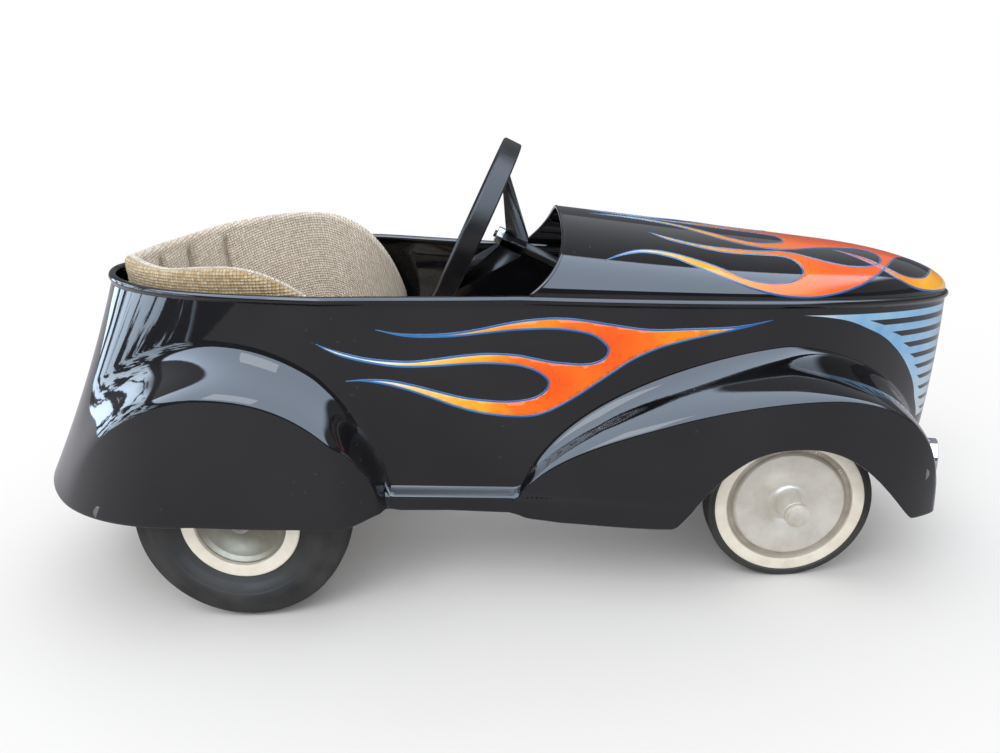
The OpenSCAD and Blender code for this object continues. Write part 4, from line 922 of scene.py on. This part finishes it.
# a painted patch is a thin closed sheet: the loop and a grid of points inside it are joined into triangles on the
# flat chart, then laid on the surface twice, a little above it and a little below
def paintPatch(name, loop, spot, warmthOf, material, lift, sign=-1):
    loop = loop[np.linalg.norm(loop - np.roll(loop, 1, 0), axis=1) > 0.05]
    low, high = loop.min(0), loop.max(0)
    step = paint["spacing"]
    gx, gy = np.meshgrid(np.arange(low[0], high[0], step), np.arange(low[1], high[1], step))
    grid = np.stack([gx.ravel(), gy.ravel()], 1)
    grid = grid[insideLoop(grid, loop)]
    near = np.min(np.linalg.norm(grid[:, None] - loop[None], axis=2), axis=1)
    grid = grid[near > 0.45 * step]
    flat = np.concatenate([loop, grid])
    n = len(loop)
    edges = [(k, (k + 1) % n) for k in range(n)]
    result = delaunay_2d_cdt([Vector(q) for q in flat], edges, [list(range(n))], 1, 1e-6)
    flat = np.array([tuple(q) for q in result[0]])
    tris = np.array([tuple(f) for f in result[2]])
    a, b, c = flat[tris[:, 0]], flat[tris[:, 1]], flat[tris[:, 2]]
    area = (b[:, 0] - a[:, 0]) * (c[:, 1] - a[:, 1]) - (b[:, 1] - a[:, 1]) * (c[:, 0] - a[:, 0])
    tris = np.where(area[:, None] > 0, tris, tris[:, ::-1])
    count = len(flat)
    directed = np.concatenate([tris[:, (0, 1)], tris[:, (1, 2)], tris[:, (2, 0)]])
    _, index, uses = np.unique(np.sort(directed, axis=1), axis=0, return_index=True, return_counts=True)
    rim = directed[index[uses == 1]]
    faces = [tuple(f) for f in tris] + [tuple(f + count) for f in tris[:, ::-1]]
    faces += [(int(q), int(p), int(p) + count, int(q) + count) for p, q in rim]
    points = np.concatenate([spot(flat, lift, sign), spot(flat, -paint["sink"], sign)])
    warmth = np.tile(clip01(warmthOf(flat)), 2)
    patch = addPiece(name, points, faces, material, "car_body", layers=dict(warmth=warmth))
    tidyMesh(patch, paint["weld"])


# a pinstripe: a low strip with a softened top that follows a line on the surface and thins out at its two ends
def pinstripe(name, lines, spot, sign=-1):
    points, faces, base = [], [], 0
    section = np.array([(-1.0, -paint["sink"]), (-1.0, 0.22), (-0.6, 0.34), (0.0, 0.38), (0.6, 0.34), (1.0, 0.22),
                        (1.0, -paint["sink"])])
    for line in lines:
        middle = spot(line, 0.0, sign)
        above = spot(line, 1.0, sign)
        ahead = unitRows(np.gradient(middle, axis=0))
        up = unitRows(above - middle)
        side = unitRows(np.cross(ahead, up))
        up = np.cross(side, ahead)
        length = runLength(middle)
        fromEnd = np.minimum(length, length[-1] - length)
        width = paint["stripe"] * (0.35 + 0.65 * smoothStep(fromEnd / 40))
        strip = middle[:, None] + width[:, None, None] * section[None, :, :1] * side[:, None] \
            + section[None, :, 1:] * up[:, None]
        n, m = strip.shape[:2]
        faces += [tuple(base + k for k in face) for face in ringFaces(n, m)]
        points.append(strip.reshape(-1, 3))
        base += n * m
    tidyMesh(addPiece(name, np.concatenate(points), faces, pinstripePaint, "car_body"), paint["weld"])


def joined(curves):
    return np.concatenate([c[:-1] for c in curves])


def sideWarmth(q):
    near = np.minimum(*(np.linalg.norm((q - spot) / (1.0, 0.9), axis=1) for spot in ((116, 279), (56, 243))))
    leftward = clip01((20 - q[:, 0]) / 150)
    return clip01((near - 8) / 62) * 0.40 + 0.62 * leftward ** 0.8 + 0.35 * clip01((q[:, 0] - 205) / 70)


sideCurves = {key: smoothCurve(value, 7) for key, value in sideFlame.items()}
# order round the flame: over the top to the first tip, in and out of the gaps, and back along the lower side
sideLoop = joined([sideCurves[key] for key in ("top", "gapOne", "gapTwo", "low")])
for sign, label in sides:
    paintPatch("sideFlame" + label, sideLoop, sideSpot, sideWarmth, sideFlamePaint, paint["lift"], sign)
    pinstripe("sideStripe" + label, list(sideCurves.values()), sideSpot, sign)

chart = np.array((1.0, paint["turnScale"]))
hoodCurves = {key: smoothCurve(np.array(value, float) * chart, 7) for key, value in hoodFlame.items()}


def mirrored(curve):
    return np.stack([curve[:, 0], 180 * paint["turnScale"] - curve[:, 1]], 1)


h = hoodCurves
rightSide = [h["gapThree"][::-1], h["gapOne"][::-1], h["gapTwo"][::-1], h["lower"]]
mainLoop = joined(rightSide + [mirrored(c)[::-1] for c in rightSide[::-1]])
nose = np.stack([np.full(60, 552.0), np.linspace(8, 172, 60) * paint["turnScale"]], 1)
lickLoop = joined([h["lickUp"][::-1], h["lickLow"], nose, mirrored(h["lickLow"])[::-1], mirrored(h["lickUp"])])


def hoodWarmth(q):
    middle = 90 * paint["turnScale"]
    crown = 1 - np.abs(q[:, 1] - middle) / middle
    return clip01((395 - q[:, 0]) / 250) * (0.9 + 0.2 * crown) - 0.04


def lickWarmth(q):
    return 0.60 - 0.5 * clip01((500 - q[:, 0]) / 80)


paintPatch("hoodFlame", mainLoop, hoodSpot, hoodWarmth, hoodFlamePaint, paint["lift"])
paintPatch("noseFlame", lickLoop, hoodSpot, lickWarmth, hoodFlamePaint, paint["noseLift"])
hoodLines = [h[key] for key in ("gapThree", "gapOne", "gapTwo", "lower", "lickUp", "lickLow")]
pinstripe("hoodStripes", hoodLines + [mirrored(c) for c in hoodLines], hoodSpot)
print("flames painted")


# wheels
frontWheel = dict(x=317.1, y=150.0, z=89.6, tyre=89.6, ring=81.29, disc=68.45, half=12.0, hub=33.0, axle=6.0, gap=0.05,
                  holes=(-66, -34), holeRadius=1.3, riders=("front_wheel_right", "front_wheel_left"))
rearWheel = dict(x=-272.9, y=181.0, z=114.0, tyre=114.0, ring=63.29, disc=48.79, face=26.0, half=34.0, axle=6.0,
                 gap=0.05, riders=("rear_axle", "rear_wheel_left"))


def mirrorOut(half):
    return np.concatenate([half, (half * (1, -1))[::-1]])


# turns one part of a wheel; its corners are first cut by a length, in so many steps
def wheelPart(w, sign, name, node, profile, cut, steps, material, slot, **more):
    label = dict(sides)[sign]
    return lathe(name + label, node + "_" + label.lower(), softened(profile, cut, steps),
                 (w["x"], sign * w["y"], w["z"]), (0, sign, 0), material, w["riders"][sign > 0], slot, **more)


def makeFrontWheel(sign):
    w = frontWheel
    r, b, q = w["tyre"], w["ring"] - 2, w["half"] + 1
    tread = np.array([(b, q - 1.2), (w["ring"] + 0.35, q - 1.2), (b + 3.6, q + 0.3), (b + 5.0, q + 0.1),
                      (b + 5.4, q - 0.4), (b + 6.2, q - 0.2), (r - 1.9, q - 0.2), (r - 0.7, q - 0.8),
                      (r - 0.1, q - 2.2), (r - 0.1, q - 5), (r - 1.6, q - 5.6), (r - 1.6, q - 6.4), (r - 0.1, q - 7),
                      (r, 2), (r - 1.6, 1.2), (r - 1.6, 0.3)])
    wheelPart(w, sign, "frontTyre", "front_tyre", mirrorOut(tread), 0.35, 2, tyreRubber, "tyre", sharp=32)
    r0, r1, h = w["disc"], w["ring"], w["half"]
    ring = np.array([(r0, h), (r0 + 0.9, h + 0.8), (r0 + 3.0, h + 0.95), (r1 - 3.5, h + 0.9), (r1 - 1, h + 0.7),
                     (r1, h + 0.1), (r1 - 2, h - 0.2), (r1 - 2, -h), (r1, -h), (r1, -h - 1.5), (r1 - 4, -h - 1.5),
                     (r1 - 4, h - 2), (r0, h - 2)])
    wheelPart(w, sign, "frontRing", "front_rim", ring, 0.45, 3, ringPaint, "ring_paint", sharp=32)
    t = np.linspace(0, 1, 15)
    face = np.stack([22 + (r0 - 32) * t, h - 7 + 7.5 * np.sin(np.pi / 2 * t) ** 0.8], 1)
    flare = arcPoints(22, h + 1, 7.5, 8, 270, 180, 10)
    disc = np.concatenate([[(w["axle"] + w["gap"], -h - 6), (13, -h - 6), (13, h - 11)], face - (0, 2),
                           [(r0 - 7, h - 3), (r0 - 6, h - 6), (r0 - 2, h - 6), (r0, h - 5), (r0, h - 0.5),
                            (r0 - 1, h - 0.5), (r0 - 2, h - 3.8), (r0 - 6, h - 3.8), (r0 - 8, h - 1.5)], face[::-1],
                           flare, [(13.6, w["hub"] - 1), (13, w["hub"]), (w["axle"] + w["gap"], w["hub"])]])
    plate = wheelPart(w, sign, "frontDisc", "front_disc", disc, 0.35, 2, discSteel, "disc_steel")
    for angle in w["holes"]:
        a = math.radians(angle)
        spot = np.array((w["x"] + (r0 - 4) * math.cos(a), sign * (w["y"] + h - 6), w["z"] - (r0 - 4) * math.sin(a)))
        cutHole(plate, spot, (0, sign, 0), w["holeRadius"], 3, 8)


def makeRearWheel(sign):
    w = rearWheel
    r, h, b, face = w["tyre"], w["half"], w["ring"] - 3, w["face"]
    m = (r + b) / 2 - 1
    k = 1.6
    wall = arcPoints(m, 0, (r - b) / 2 - 1, h, 128, 62, 22)
    # raised rings on the side wall: two narrow ribs and a shallow step, all round
    out = np.linalg.norm(wall - (m, 0), axis=1)
    rib = sum(0.55 * np.exp(-((wall[:, 0] - at) / 0.9) ** 2) for at in (b + 9.0, r - 15.0)) + 0.35 * (
        np.abs(wall[:, 0] - (b + r) / 2 + 1) < 5)
    wall = (m, 0) + (wall - (m, 0)) * (1 + rib / out)[:, None]
    half = np.concatenate([[(b, face - 4), (w["ring"] + 0.25, face - 2.2)], wall,
                           [(r - 5, h * 0.78), (r - 2.4, h * 0.66), (r - 1.2, h * 0.5), (r - 1.1 - k, h * 0.46),
                            (r - 1 - k, h * 0.4), (r - 0.7, h * 0.36), (r - 0.2, h * 0.14), (r - k - 0.2, h * 0.11),
                            (r - k - 0.2, h * 0.04), (r, 0.3)]])
    lining = np.concatenate([[(b, h - 16)], arcPoints(m - 1, 0, (r - b) / 2 - 8, h - 7, 128, 20, 12), [(r - 9, 0)]])
    tyre = np.concatenate([mirrorOut(half), lining * (1, -1), lining[-2::-1]])
    wheelPart(w, sign, "rearTyre", "rear_tyre", tyre, 0.3, 2, tyreRubber, "tyre", segments=176, sharp=45)
    r0, r1, g = w["disc"], w["ring"], h - 9
    ring = np.array([(r0, face), (r0 + 1.2, face + 0.5), (r1 - 2.2, face + 0.5), (r1 - 0.8, face), (r1, face - 1),
                     (r1, face - 2), (r1 - 3, face - 2), (r1 - 3, g - 7), (r0 + 2, g - 12), (r0 + 2, -g + 12),
                     (r1 - 3, -g + 7), (r1 - 3, -g), (r1, -g), (r1, -g - 2), (r1 - 5, -g - 2), (r1 - 5, -g + 6),
                     (r0, -g + 11)])
    wheelPart(w, sign, "rearRing", "rear_rim", ring, 0.5, 3, ringPaint, "ring_paint", sharp=32)
    t = np.linspace(0, 1, 13)
    bowl = np.stack([18 + (r0 - 24) * t, face - 19 + 9 * np.sin(np.pi / 2 * t) * t], 1)
    bore = w["axle"] + (w["gap"] if sign > 0 else 0)   # the left wheel turns on the axle
    disc = np.concatenate([[(bore, -18), (15, -18), (15, face - 17)], bowl,
                           [(r0 - 3, face - 12), (r0 - 2.4, face - 20), (r0, face - 20), (r0, face - 4),
                            (r0 - 1.8, face - 4)], (bowl + (0, 2.5))[::-1],
                           [(14, face - 12), (13.2, face - 4.6), (12.4, face - 4), (bore, face - 4)]])
    # the rear disc takes the darker steel with painted shade in its colour
    wheelPart(w, sign, "rearDisc", "rear_disc", disc, 0.4, 2, rearDiscSteel, "disc_steel", segments=144)


for sign, _ in sides:
    makeFrontWheel(sign)
    makeRearWheel(sign)
print("wheels turned")


# headlights
def makeLamp(sign, label):
    centre, axis = lampFrame(sign)
    r = lamp["radius"]
    t = np.radians(np.linspace(-20, 200, 12))
    lip = np.stack([r - 1.35 + 1.5 * np.cos(t), 4.4 + 1.5 * np.sin(t)], 1)
    cup = np.concatenate([[(0.01, -16), (r - 0.4, -16), (r, -15.2), (r, 3.2)], lip,
                          [(r - 2.6, 3.4), (r - 3.0, 1.0), (r - 5.5, -9.0), (r - 11, -12.6), (0.01, -14)]])
    tidyMesh(lathe("lampRim" + label, "headlight_bezel_" + label.lower(), cup, centre, axis, chrome, "car_body",
                   "chrome", segments=128))
    rr = np.linspace(0.01, r - 2.75, 16)
    front = np.stack([rr, -28 + np.sqrt(37 ** 2 - rr ** 2) - 0.25], 1)
    back = np.stack([rr, front[:, 1] - 2.6 + 0.35 * np.cos(rr * 2.4)], 1)   # rippled behind, as pressed glass
    lens = np.concatenate([front, back[::-1]])
    tidyMesh(lathe("lampLens" + label, "headlight_lens_" + label.lower(), lens, centre, axis, lampGlass, "car_body",
                   "lamp_glass", segments=96, sharp=45))


for sign, label in sides:
    makeLamp(sign, label)
print("headlights made")


# steering wheel
steer = dict(centre=(-19.4, 0.0, 388.5), axis=(0.88294759, 0.0, -0.46947156), radius=103.5, front=13.0, inner=95.0)


def makeSteeringRim():
    s = steer
    r, w = s["radius"], s["front"]
    profile = np.concatenate([[(r - 7, -6)], arcPoints(r - 4, -6, 4, 3, 225, 360, 14),
                              [(r, w - 1.5), (r - 1.5, w), (s["inner"] + 1, w), (s["inner"], w - 1),
                               (s["inner"], w - 7.5)]])
    lathe("steeringRim", "steering_rim", softened(profile, 0.5, 3), s["centre"], s["axis"], wheelBlack, "steering",
          "wheel_black", segments=168, sharp=32)


makeSteeringRim()


# seat
seat = dict(top=205.0, padLow=246.0, bend=0.78, wingX=-217.9, wingTip=-128.9, pad=17.0, channels=6,
            sewnTo=0.42, sewnDepth=7.0, belly=1.4, ripple=0.55, inset=4.3, uSteps=260, rowSteps=26, rollSteps=12,
            fill=0.75)


def wrapHalf(z):
    return 136 + 28 * smoothStep((z - seat["top"] - 24) / (seat["padLow"] - seat["top"] - 25))


def wrapRear(z):
    return body["midX"] - 388 - 38 * smoothStep((z - 214) / 130)


# the wrap-round line of the seat: s from -1, the tip of the right wing, over the rear to 1, the left tip
def wrapPoint(s, z, inset):
    m = np.abs(s)
    c = np.cos(np.pi / 2 * np.minimum(1, m / seat["bend"]))
    w = wrapHalf(z) - inset
    x0 = wrapRear(z) + inset
    f = positive((m - seat["bend"]) / (1 - seat["bend"]))
    x = seat["wingX"] - (seat["wingX"] - x0) * c + f * (seat["wingTip"] - seat["wingX"])
    y = np.sign(s) * w * positive(1 - c ** 1.9) ** 0.62
    return np.stack(np.broadcast_arrays(x, y, z), -1)


# top of the padding: the left wing keeps its height further forward, and the right one is pulled lower
def padTop(s):
    u = wrapPoint(s, 350.0, 0.0)[..., 0] - body["midX"] + 262
    power, root = np.where(s > 0, 3.0, 2.2), np.where(s > 0, 0.62, 0.667)
    top = np.where(u < 0, 394 - 15 * (u / 134) ** 2, 250 + 144 * positive(1 - np.abs(u / 149) ** power) ** root)
    drop = np.where(s < 0, 19 * smoothStep((np.abs(s) - 0.2) / 0.3), 0)
    return np.maximum(seat["padLow"] + 14, top - drop)


# the padded back as a closed ring at each step of the wrap: up the outside, over a rolled top, down the channelled
# inside, and back under; the padding thins to nothing at the two wing tips
def makeSeatBack():
    q = seat
    s = np.sin(np.linspace(-1, 1, q["uSteps"]) * np.pi / 2 * 0.999) * 0.5 + np.linspace(-1, 1, q["uSteps"]) * 0.5
    top = padTop(s)
    tip = np.sqrt(positive(1 - np.abs(s) ** 40))
    tip[0] = tip[-1] = 0.02
    thick = q["pad"] * tip
    r = thick / 2
    low = q["padLow"]
    t = np.linspace(0, 1, q["rowSteps"])
    turn = np.pi * q["channels"] * (s + q["sewnTo"]) / (2 * q["sewnTo"])
    sewn = np.where(np.abs(s) > q["sewnTo"], 0, np.abs(np.cos(turn)) ** 16)
    belly = np.where(np.abs(s) > q["sewnTo"], 0, np.abs(np.sin(turn)) ** 0.8)
    rows = []
    for k in t:   # outside, with a soft bulge and the roll of the hem near the top
        z = low + (top - r - low) * k
        rows.append(wrapPoint(s, z, q["inset"] - 0.5 * np.sin(np.pi * k) + 0.9 * np.exp(-((k - 0.86) / 0.035) ** 2)))
    for a in np.radians(np.linspace(168, 12, q["rollSteps"])):   # rolled top
        rows.append(wrapPoint(s, top - r + r * np.sin(a), q["inset"] + r - r * np.cos(np.pi - a)))
    for k in t[::-1]:   # inside: channels pressed in where sewn, rounder between
        z = low + (top - r - low) * k
        fade = smoothStep((1 - k) * 9) * 0.999
        rows.append(wrapPoint(s, z, q["inset"] + thick - tip * (q["sewnDepth"] * sewn - q["belly"] * belly) * fade
                              - 1.5 * (k - 0.5) ** 2 + 1.2 * tip * np.sin(np.pi * k)))
    points = np.stack(rows, 1)
    ripple = q["ripple"] * np.sin(points[..., 0] / 19 + points[..., 2] / 23) * np.sin(points[..., 1] / 27 + 1.3)
    middle = points.mean(axis=1, keepdims=True)
    points = points + unitRows(points - middle) * (ripple * tip[:, None])[..., None]
    n, m = points.shape[:2]
    run = runLength(wrapPoint(s, 320.0, 0.0))
    level = np.where(np.arange(m)[None] < 30, points[..., 2], 2 * top[:, None] - points[..., 2] + 12)
    uv = np.stack([np.broadcast_to(run[:, None], (n, m)), level], -1) / 1000
    split = q["rowSteps"] + 3
    # painted shade along the floors of the sewn channels, carried to the cover's colour as an attribute
    channelShade = np.zeros((n, m))
    channelShade[:, -q["rowSteps"]:] = sewn[:, None] * smoothStep((1 - t[::-1]) * 9)[None]
    cover = addPiece("seatBackPad", points, [f[::-1] for f in ringFaces(n, m)], weaveInner, "car_body", uv=uv,
                     layers=dict(sewn=channelShade), node="seat_back")
    cover.data.materials.append(weaveOuter)
    index = np.zeros(len(cover.data.polygons), np.int32)
    column = np.arange(n * m - m).reshape(n - 1, m) % m
    index[:(n - 1) * m] = (column < split).ravel()
    cover.data.polygons.foreach_set("material_index", index)


# cushion: a slightly small rounded slab blown up by cloth pressure, its underside kept on the board
cushion = dict(x0=-395.0, x1=-168.5, half=129.0, low=205.5, small=4.0, voxel=0.005, pressure=4.0, cap=0.011,
               frames=20, around=96, levels=[(6, 0), (2, 4), (0, 12), (0.5, 20), (5, 26), (16, 29.2), (40, 30.5),
                                             (80, 30.5)],
               pipe=2.4, pipeRise=27.5, pipeInset=1.6, pipeSteps=240, fill=0.7)


def cushionEdge(turn, inset):
    c = cushion
    cx, rx = (c["x0"] + c["x1"]) / 2, (c["x1"] - c["x0"]) / 2 - inset
    x = cx + rx * np.sign(np.cos(turn)) * np.abs(np.cos(turn)) ** 0.45
    k = clip01((seat["wingX"] - x) / (seat["wingX"] - c["x0"] - inset))
    y = np.minimum(np.abs(np.sin(turn)) ** 0.35, positive(1 - k ** 1.9) ** 0.62)
    return x, y * (c["half"] - inset) * np.sign(np.sin(turn))


def inflate(obj, c):
    scene = bpy.context.scene
    remesh = obj.modifiers.new("remesh", "REMESH")
    remesh.mode = "VOXEL"
    remesh.voxel_size = c["voxel"]
    applyModifiers(obj)
    before = meshValues(obj.data.vertices, "co", 3, float)
    cloth = obj.modifiers.new("cloth", "CLOTH")
    settings = cloth.settings
    settings.quality = 5
    settings.mass = 0.3
    settings.tension_stiffness = settings.compression_stiffness = 12
    settings.use_pressure = True
    settings.uniform_pressure_force = c["pressure"]
    settings.effector_weights.gravity = 0
    cloth.collision_settings.use_collision = False
    scene.frame_start, scene.frame_end = 1, c["frames"]
    cloth.point_cache.frame_start, cloth.point_cache.frame_end = 1, c["frames"]
    for step in range(1, c["frames"] + 1):
        scene.frame_set(step)
    evaluated = obj.evaluated_get(bpy.context.evaluated_depsgraph_get())
    move = meshValues(evaluated.data.vertices, "co", 3, float) - before
    obj.modifiers.clear()
    scene.frame_set(1)
    length = np.linalg.norm(move, axis=1, keepdims=True)
    move *= np.minimum(1, c["cap"] / np.maximum(length, 1e-9))
    return before + move


def makeCushion():
    c = cushion
    n = c["around"]
    rings = [np.stack([*cushionEdge(circle(n), inset + c["small"]), np.full(n, c["low"] + rise)], 1)
             for inset, rise in c["levels"]]
    obj = addPiece("seatCushionPad", np.stack(rings), ringFaces(len(rings), n), weaveInner, "car_body",
                   node="seat_cushion")
    tidyMesh(obj)
    swollen = inflate(obj, c)
    swollen[:, 2] = np.maximum(swollen[:, 2], c["low"] / 1000)
    obj.data.vertices.foreach_set("co", swollen.ravel())
    flatUv(obj)
    obj.data.polygons.foreach_set("use_smooth", np.ones(len(obj.data.polygons), bool))
    smooth = obj.modifiers.new("smooth", "SUBSURF")
    smooth.levels = smooth.render_levels = 1
    applyModifiers(obj)
    # piping round the widest line of the cushion
    n = c["pipeSteps"]
    path = np.stack([*cushionEdge(circle(n), c["pipeInset"]), np.full(n, c["low"] + c["pipeRise"])], 1)
    tubeAlong("seatPiping", path, c["pipe"], weaveOuter, 12, closed=True)


# a cover cut flat: seen from above on the top, from the side on the walls, in metres
def flatUv(obj):
    mesh = obj.data
    layer = mesh.uv_layers.get("UVMap") or mesh.uv_layers.new(name="UVMap")
    total = meshValues(mesh.polygons, "loop_total", 1, np.int32)
    face = np.repeat(np.abs(meshValues(mesh.polygons, "normal", 3)), total, axis=0)
    spot = meshValues(mesh.vertices, "co", 3)[meshValues(mesh.loops, "vertex_index", 1, np.int32)]
    topward = (face[:, 2] > 0.6)[:, None]
    side = (face[:, 0] > face[:, 1])[:, None]
    uv = np.where(topward, spot[:, (0, 1)], np.where(side, spot[:, (1, 2)], spot[:, (0, 2)]))
    layer.data.foreach_set("uv", uv.ravel().astype(np.float32))


makeSeatBack()
makeCushion()
print("seat padded")


# carried-over parts
# a star stands for the right and the left node
finishes = dict(framePaint="chassis_frame front_axle_beam steering_support dash_bar seat_riser_rear seat_riser_front "
                           "pedal_arm_* steering_column body_screws",
                platedSteel="frame_bolts kingpin_* pedal_rod steering_nut rear_axle_cap_* pedal_collars",
                capSteel="front_axle_cap_*",
                bareSteel="weld_nuts rod_cups rear_bearing_* column_arm spindle_* tie_rod tie_bracket rear_axle "
                          "drive_rod_*",
                boardWood="seat_board", shellPaint="seat_shell", pedalRubber="pedal_pad_*",
                wheelBlack="steering_spokes")
edgeCut = dict(default=0.0006, steering_spokes=0.0009, pedal_pad_right=0.0012, pedal_pad_left=0.0012, seat_board=0.002,
               steering_nut=0.0008, body_screws=0.0003)


def finishNode(name, material):
    obj = nodes[name]
    for slotItem in obj.material_slots:
        slotItem.material = material
    if not obj.material_slots:
        obj.data.materials.append(material)
    obj.data.polygons.foreach_set("use_smooth", np.ones(len(obj.data.polygons), bool))
    weld = obj.modifiers.new("weld", "WELD")
    weld.merge_threshold = 0.00001
    if name != "seat_shell":
        bevel = obj.modifiers.new("edges", "BEVEL")
        bevel.width = edgeCut.get(name, edgeCut["default"])
        bevel.segments = 2
        bevel.limit_method = "ANGLE"
        bevel.angle_limit = math.radians(38)
        bevel.use_clamp_overlap = True
        bevel.harden_normals = True


for finish, names in finishes.items():
    for name in names.split():
        for each in ("right", "left") if name.endswith("*") else ("",):
            finishNode(name.replace("*", each), bpy.data.materials[finish])
print("carried-over parts finished")


# studio
studio = dict(fill=1.02, skyNear=(3.3, 3.95, 4.9), skyFar=(0.30, 0.31, 0.33), ground=(0.12, 0.125, 0.14), horizon=0.32,
              lean=0.14, edge=0.012, panel=(2.2, 2.7, 3.3), panelWay=(-0.985, 0.174, 0.0), panelTop=0.38,
              panelLow=-0.10, panelEdge=0.02, panelFacing=(0.84, 0.88), leafScale=11.0, leafGaps=(0.45, 0.49),
              nearTo=(0.29, 0.25), aheadTo=(0.86, 0.78), floor=(0.90, 0.90, 0.90), floorShine=(0.42, 0.42, 0.45),
              floorFade=(0.75, 1.5), floorRadius=9, floorSides=96, keyPower=20.0, keySize=1.6,
              keyPlace=(-0.9, -1.9, 2.5))


# rays that reach a place straight from the camera or through glass
def straight(path):
    return maths("MAXIMUM", path["Is Camera Ray"], path["Is Transmission Ray"])


def makeWorld():
    s = studio
    world = bpy.data.worlds.new("studio")
    bpy.context.scene.world = world
    world.use_nodes = True
    net["tree"] = world.node_tree
    net["tree"].nodes.clear()
    path = place("LightPath").outputs
    way = coordinates("Generated")
    x, y, z = place("SeparateXYZ", {0: way}).outputs
    rise = remap(timesPlus(x, s["lean"], z), s["horizon"] - s["edge"], s["horizon"] + s["edge"], ease="SMOOTHSTEP")
    bright = times(remap(y, *s["nearTo"], ease="SMOOTHSTEP"), remap(x, *s["aheadTo"], ease="SMOOTHSTEP"))
    # behind the tail a bright patch of sky shows between dark leaves, seen only in the gloss
    facing = place("VectorMath", {0: way, 1: s["panelWay"]}, operation="DOT_PRODUCT").outputs["Value"]
    panel = remap(noise(way, s["leafScale"], 3.0, Roughness=0.6), *s["leafGaps"])
    for value, start, full in ((facing, *s["panelFacing"]), (z, s["panelTop"], s["panelTop"] - s["panelEdge"]),
                               (z, s["panelLow"], s["panelLow"] + s["panelEdge"])):
        panel = times(panel, remap(value, start, full))
    low = mixColour(panel, s["ground"], s["panel"])
    sky = mixColour(rise, low, mixColour(bright, s["skyFar"], s["skyNear"]))
    light, shine, seen = (place("Background", {"Color": colour, "Strength": strength}).outputs[0]
                          for colour, strength in (((1, 1, 1), s["fill"]), (sky, 1.0), ((1, 1, 1), 1.0)))
    indirect = place("MixShader", {0: path["Is Glossy Ray"], 1: light, 2: shine}).outputs[0]
    both = place("MixShader", {0: straight(path), 1: indirect, 2: seen}).outputs[0]
    place("OutputWorld", {"Surface": both})


def makeFloor():
    s = studio
    mat = openMaterial("floor")
    path = place("LightPath").outputs
    # mirrored in the enamel the floor is a darker grey, as the ground in the photograph
    tint = mixColour(path["Is Glossy Ray"], s["floor"], s["floorShine"])
    matte = place("BsdfDiffuse", {"Color": tint}).outputs[0]
    white = place("Emission", {"Color": (1, 1, 1), "Strength": 1.0}).outputs[0]
    away = place("VectorMath", {0: coordinates()}, operation="LENGTH").outputs["Value"]
    far = times(remap(away, *s["floorFade"], ease="SMOOTHSTEP"), straight(path))
    place("OutputMaterial", {"Surface": place("MixShader", {0: far, 1: matte, 2: white}).outputs[0]})
    mesh = bpy.data.meshes.new("floor")
    a = circle(s["floorSides"])
    mesh.from_pydata(np.stack([np.cos(a), np.sin(a), 0 * a], 1) * s["floorRadius"], [], [tuple(range(len(a)))])
    mesh.materials.append(mat)
    link("floor", mesh)


def makeKey():
    s = studio
    data = bpy.data.lights.new("key", "AREA")
    data.energy = s["keyPower"]
    data.size = s["keySize"]
    obj = link("key", data)
    obj.location = s["keyPlace"]
    obj.rotation_euler = (Vector((0, 0, 0.2)) - Vector(s["keyPlace"])).to_track_quat("-Z", "Y").to_euler()


makeWorld()
makeFloor()
makeKey()
bpy.context.scene.view_settings.view_transform = "Standard"
print("studio lit")
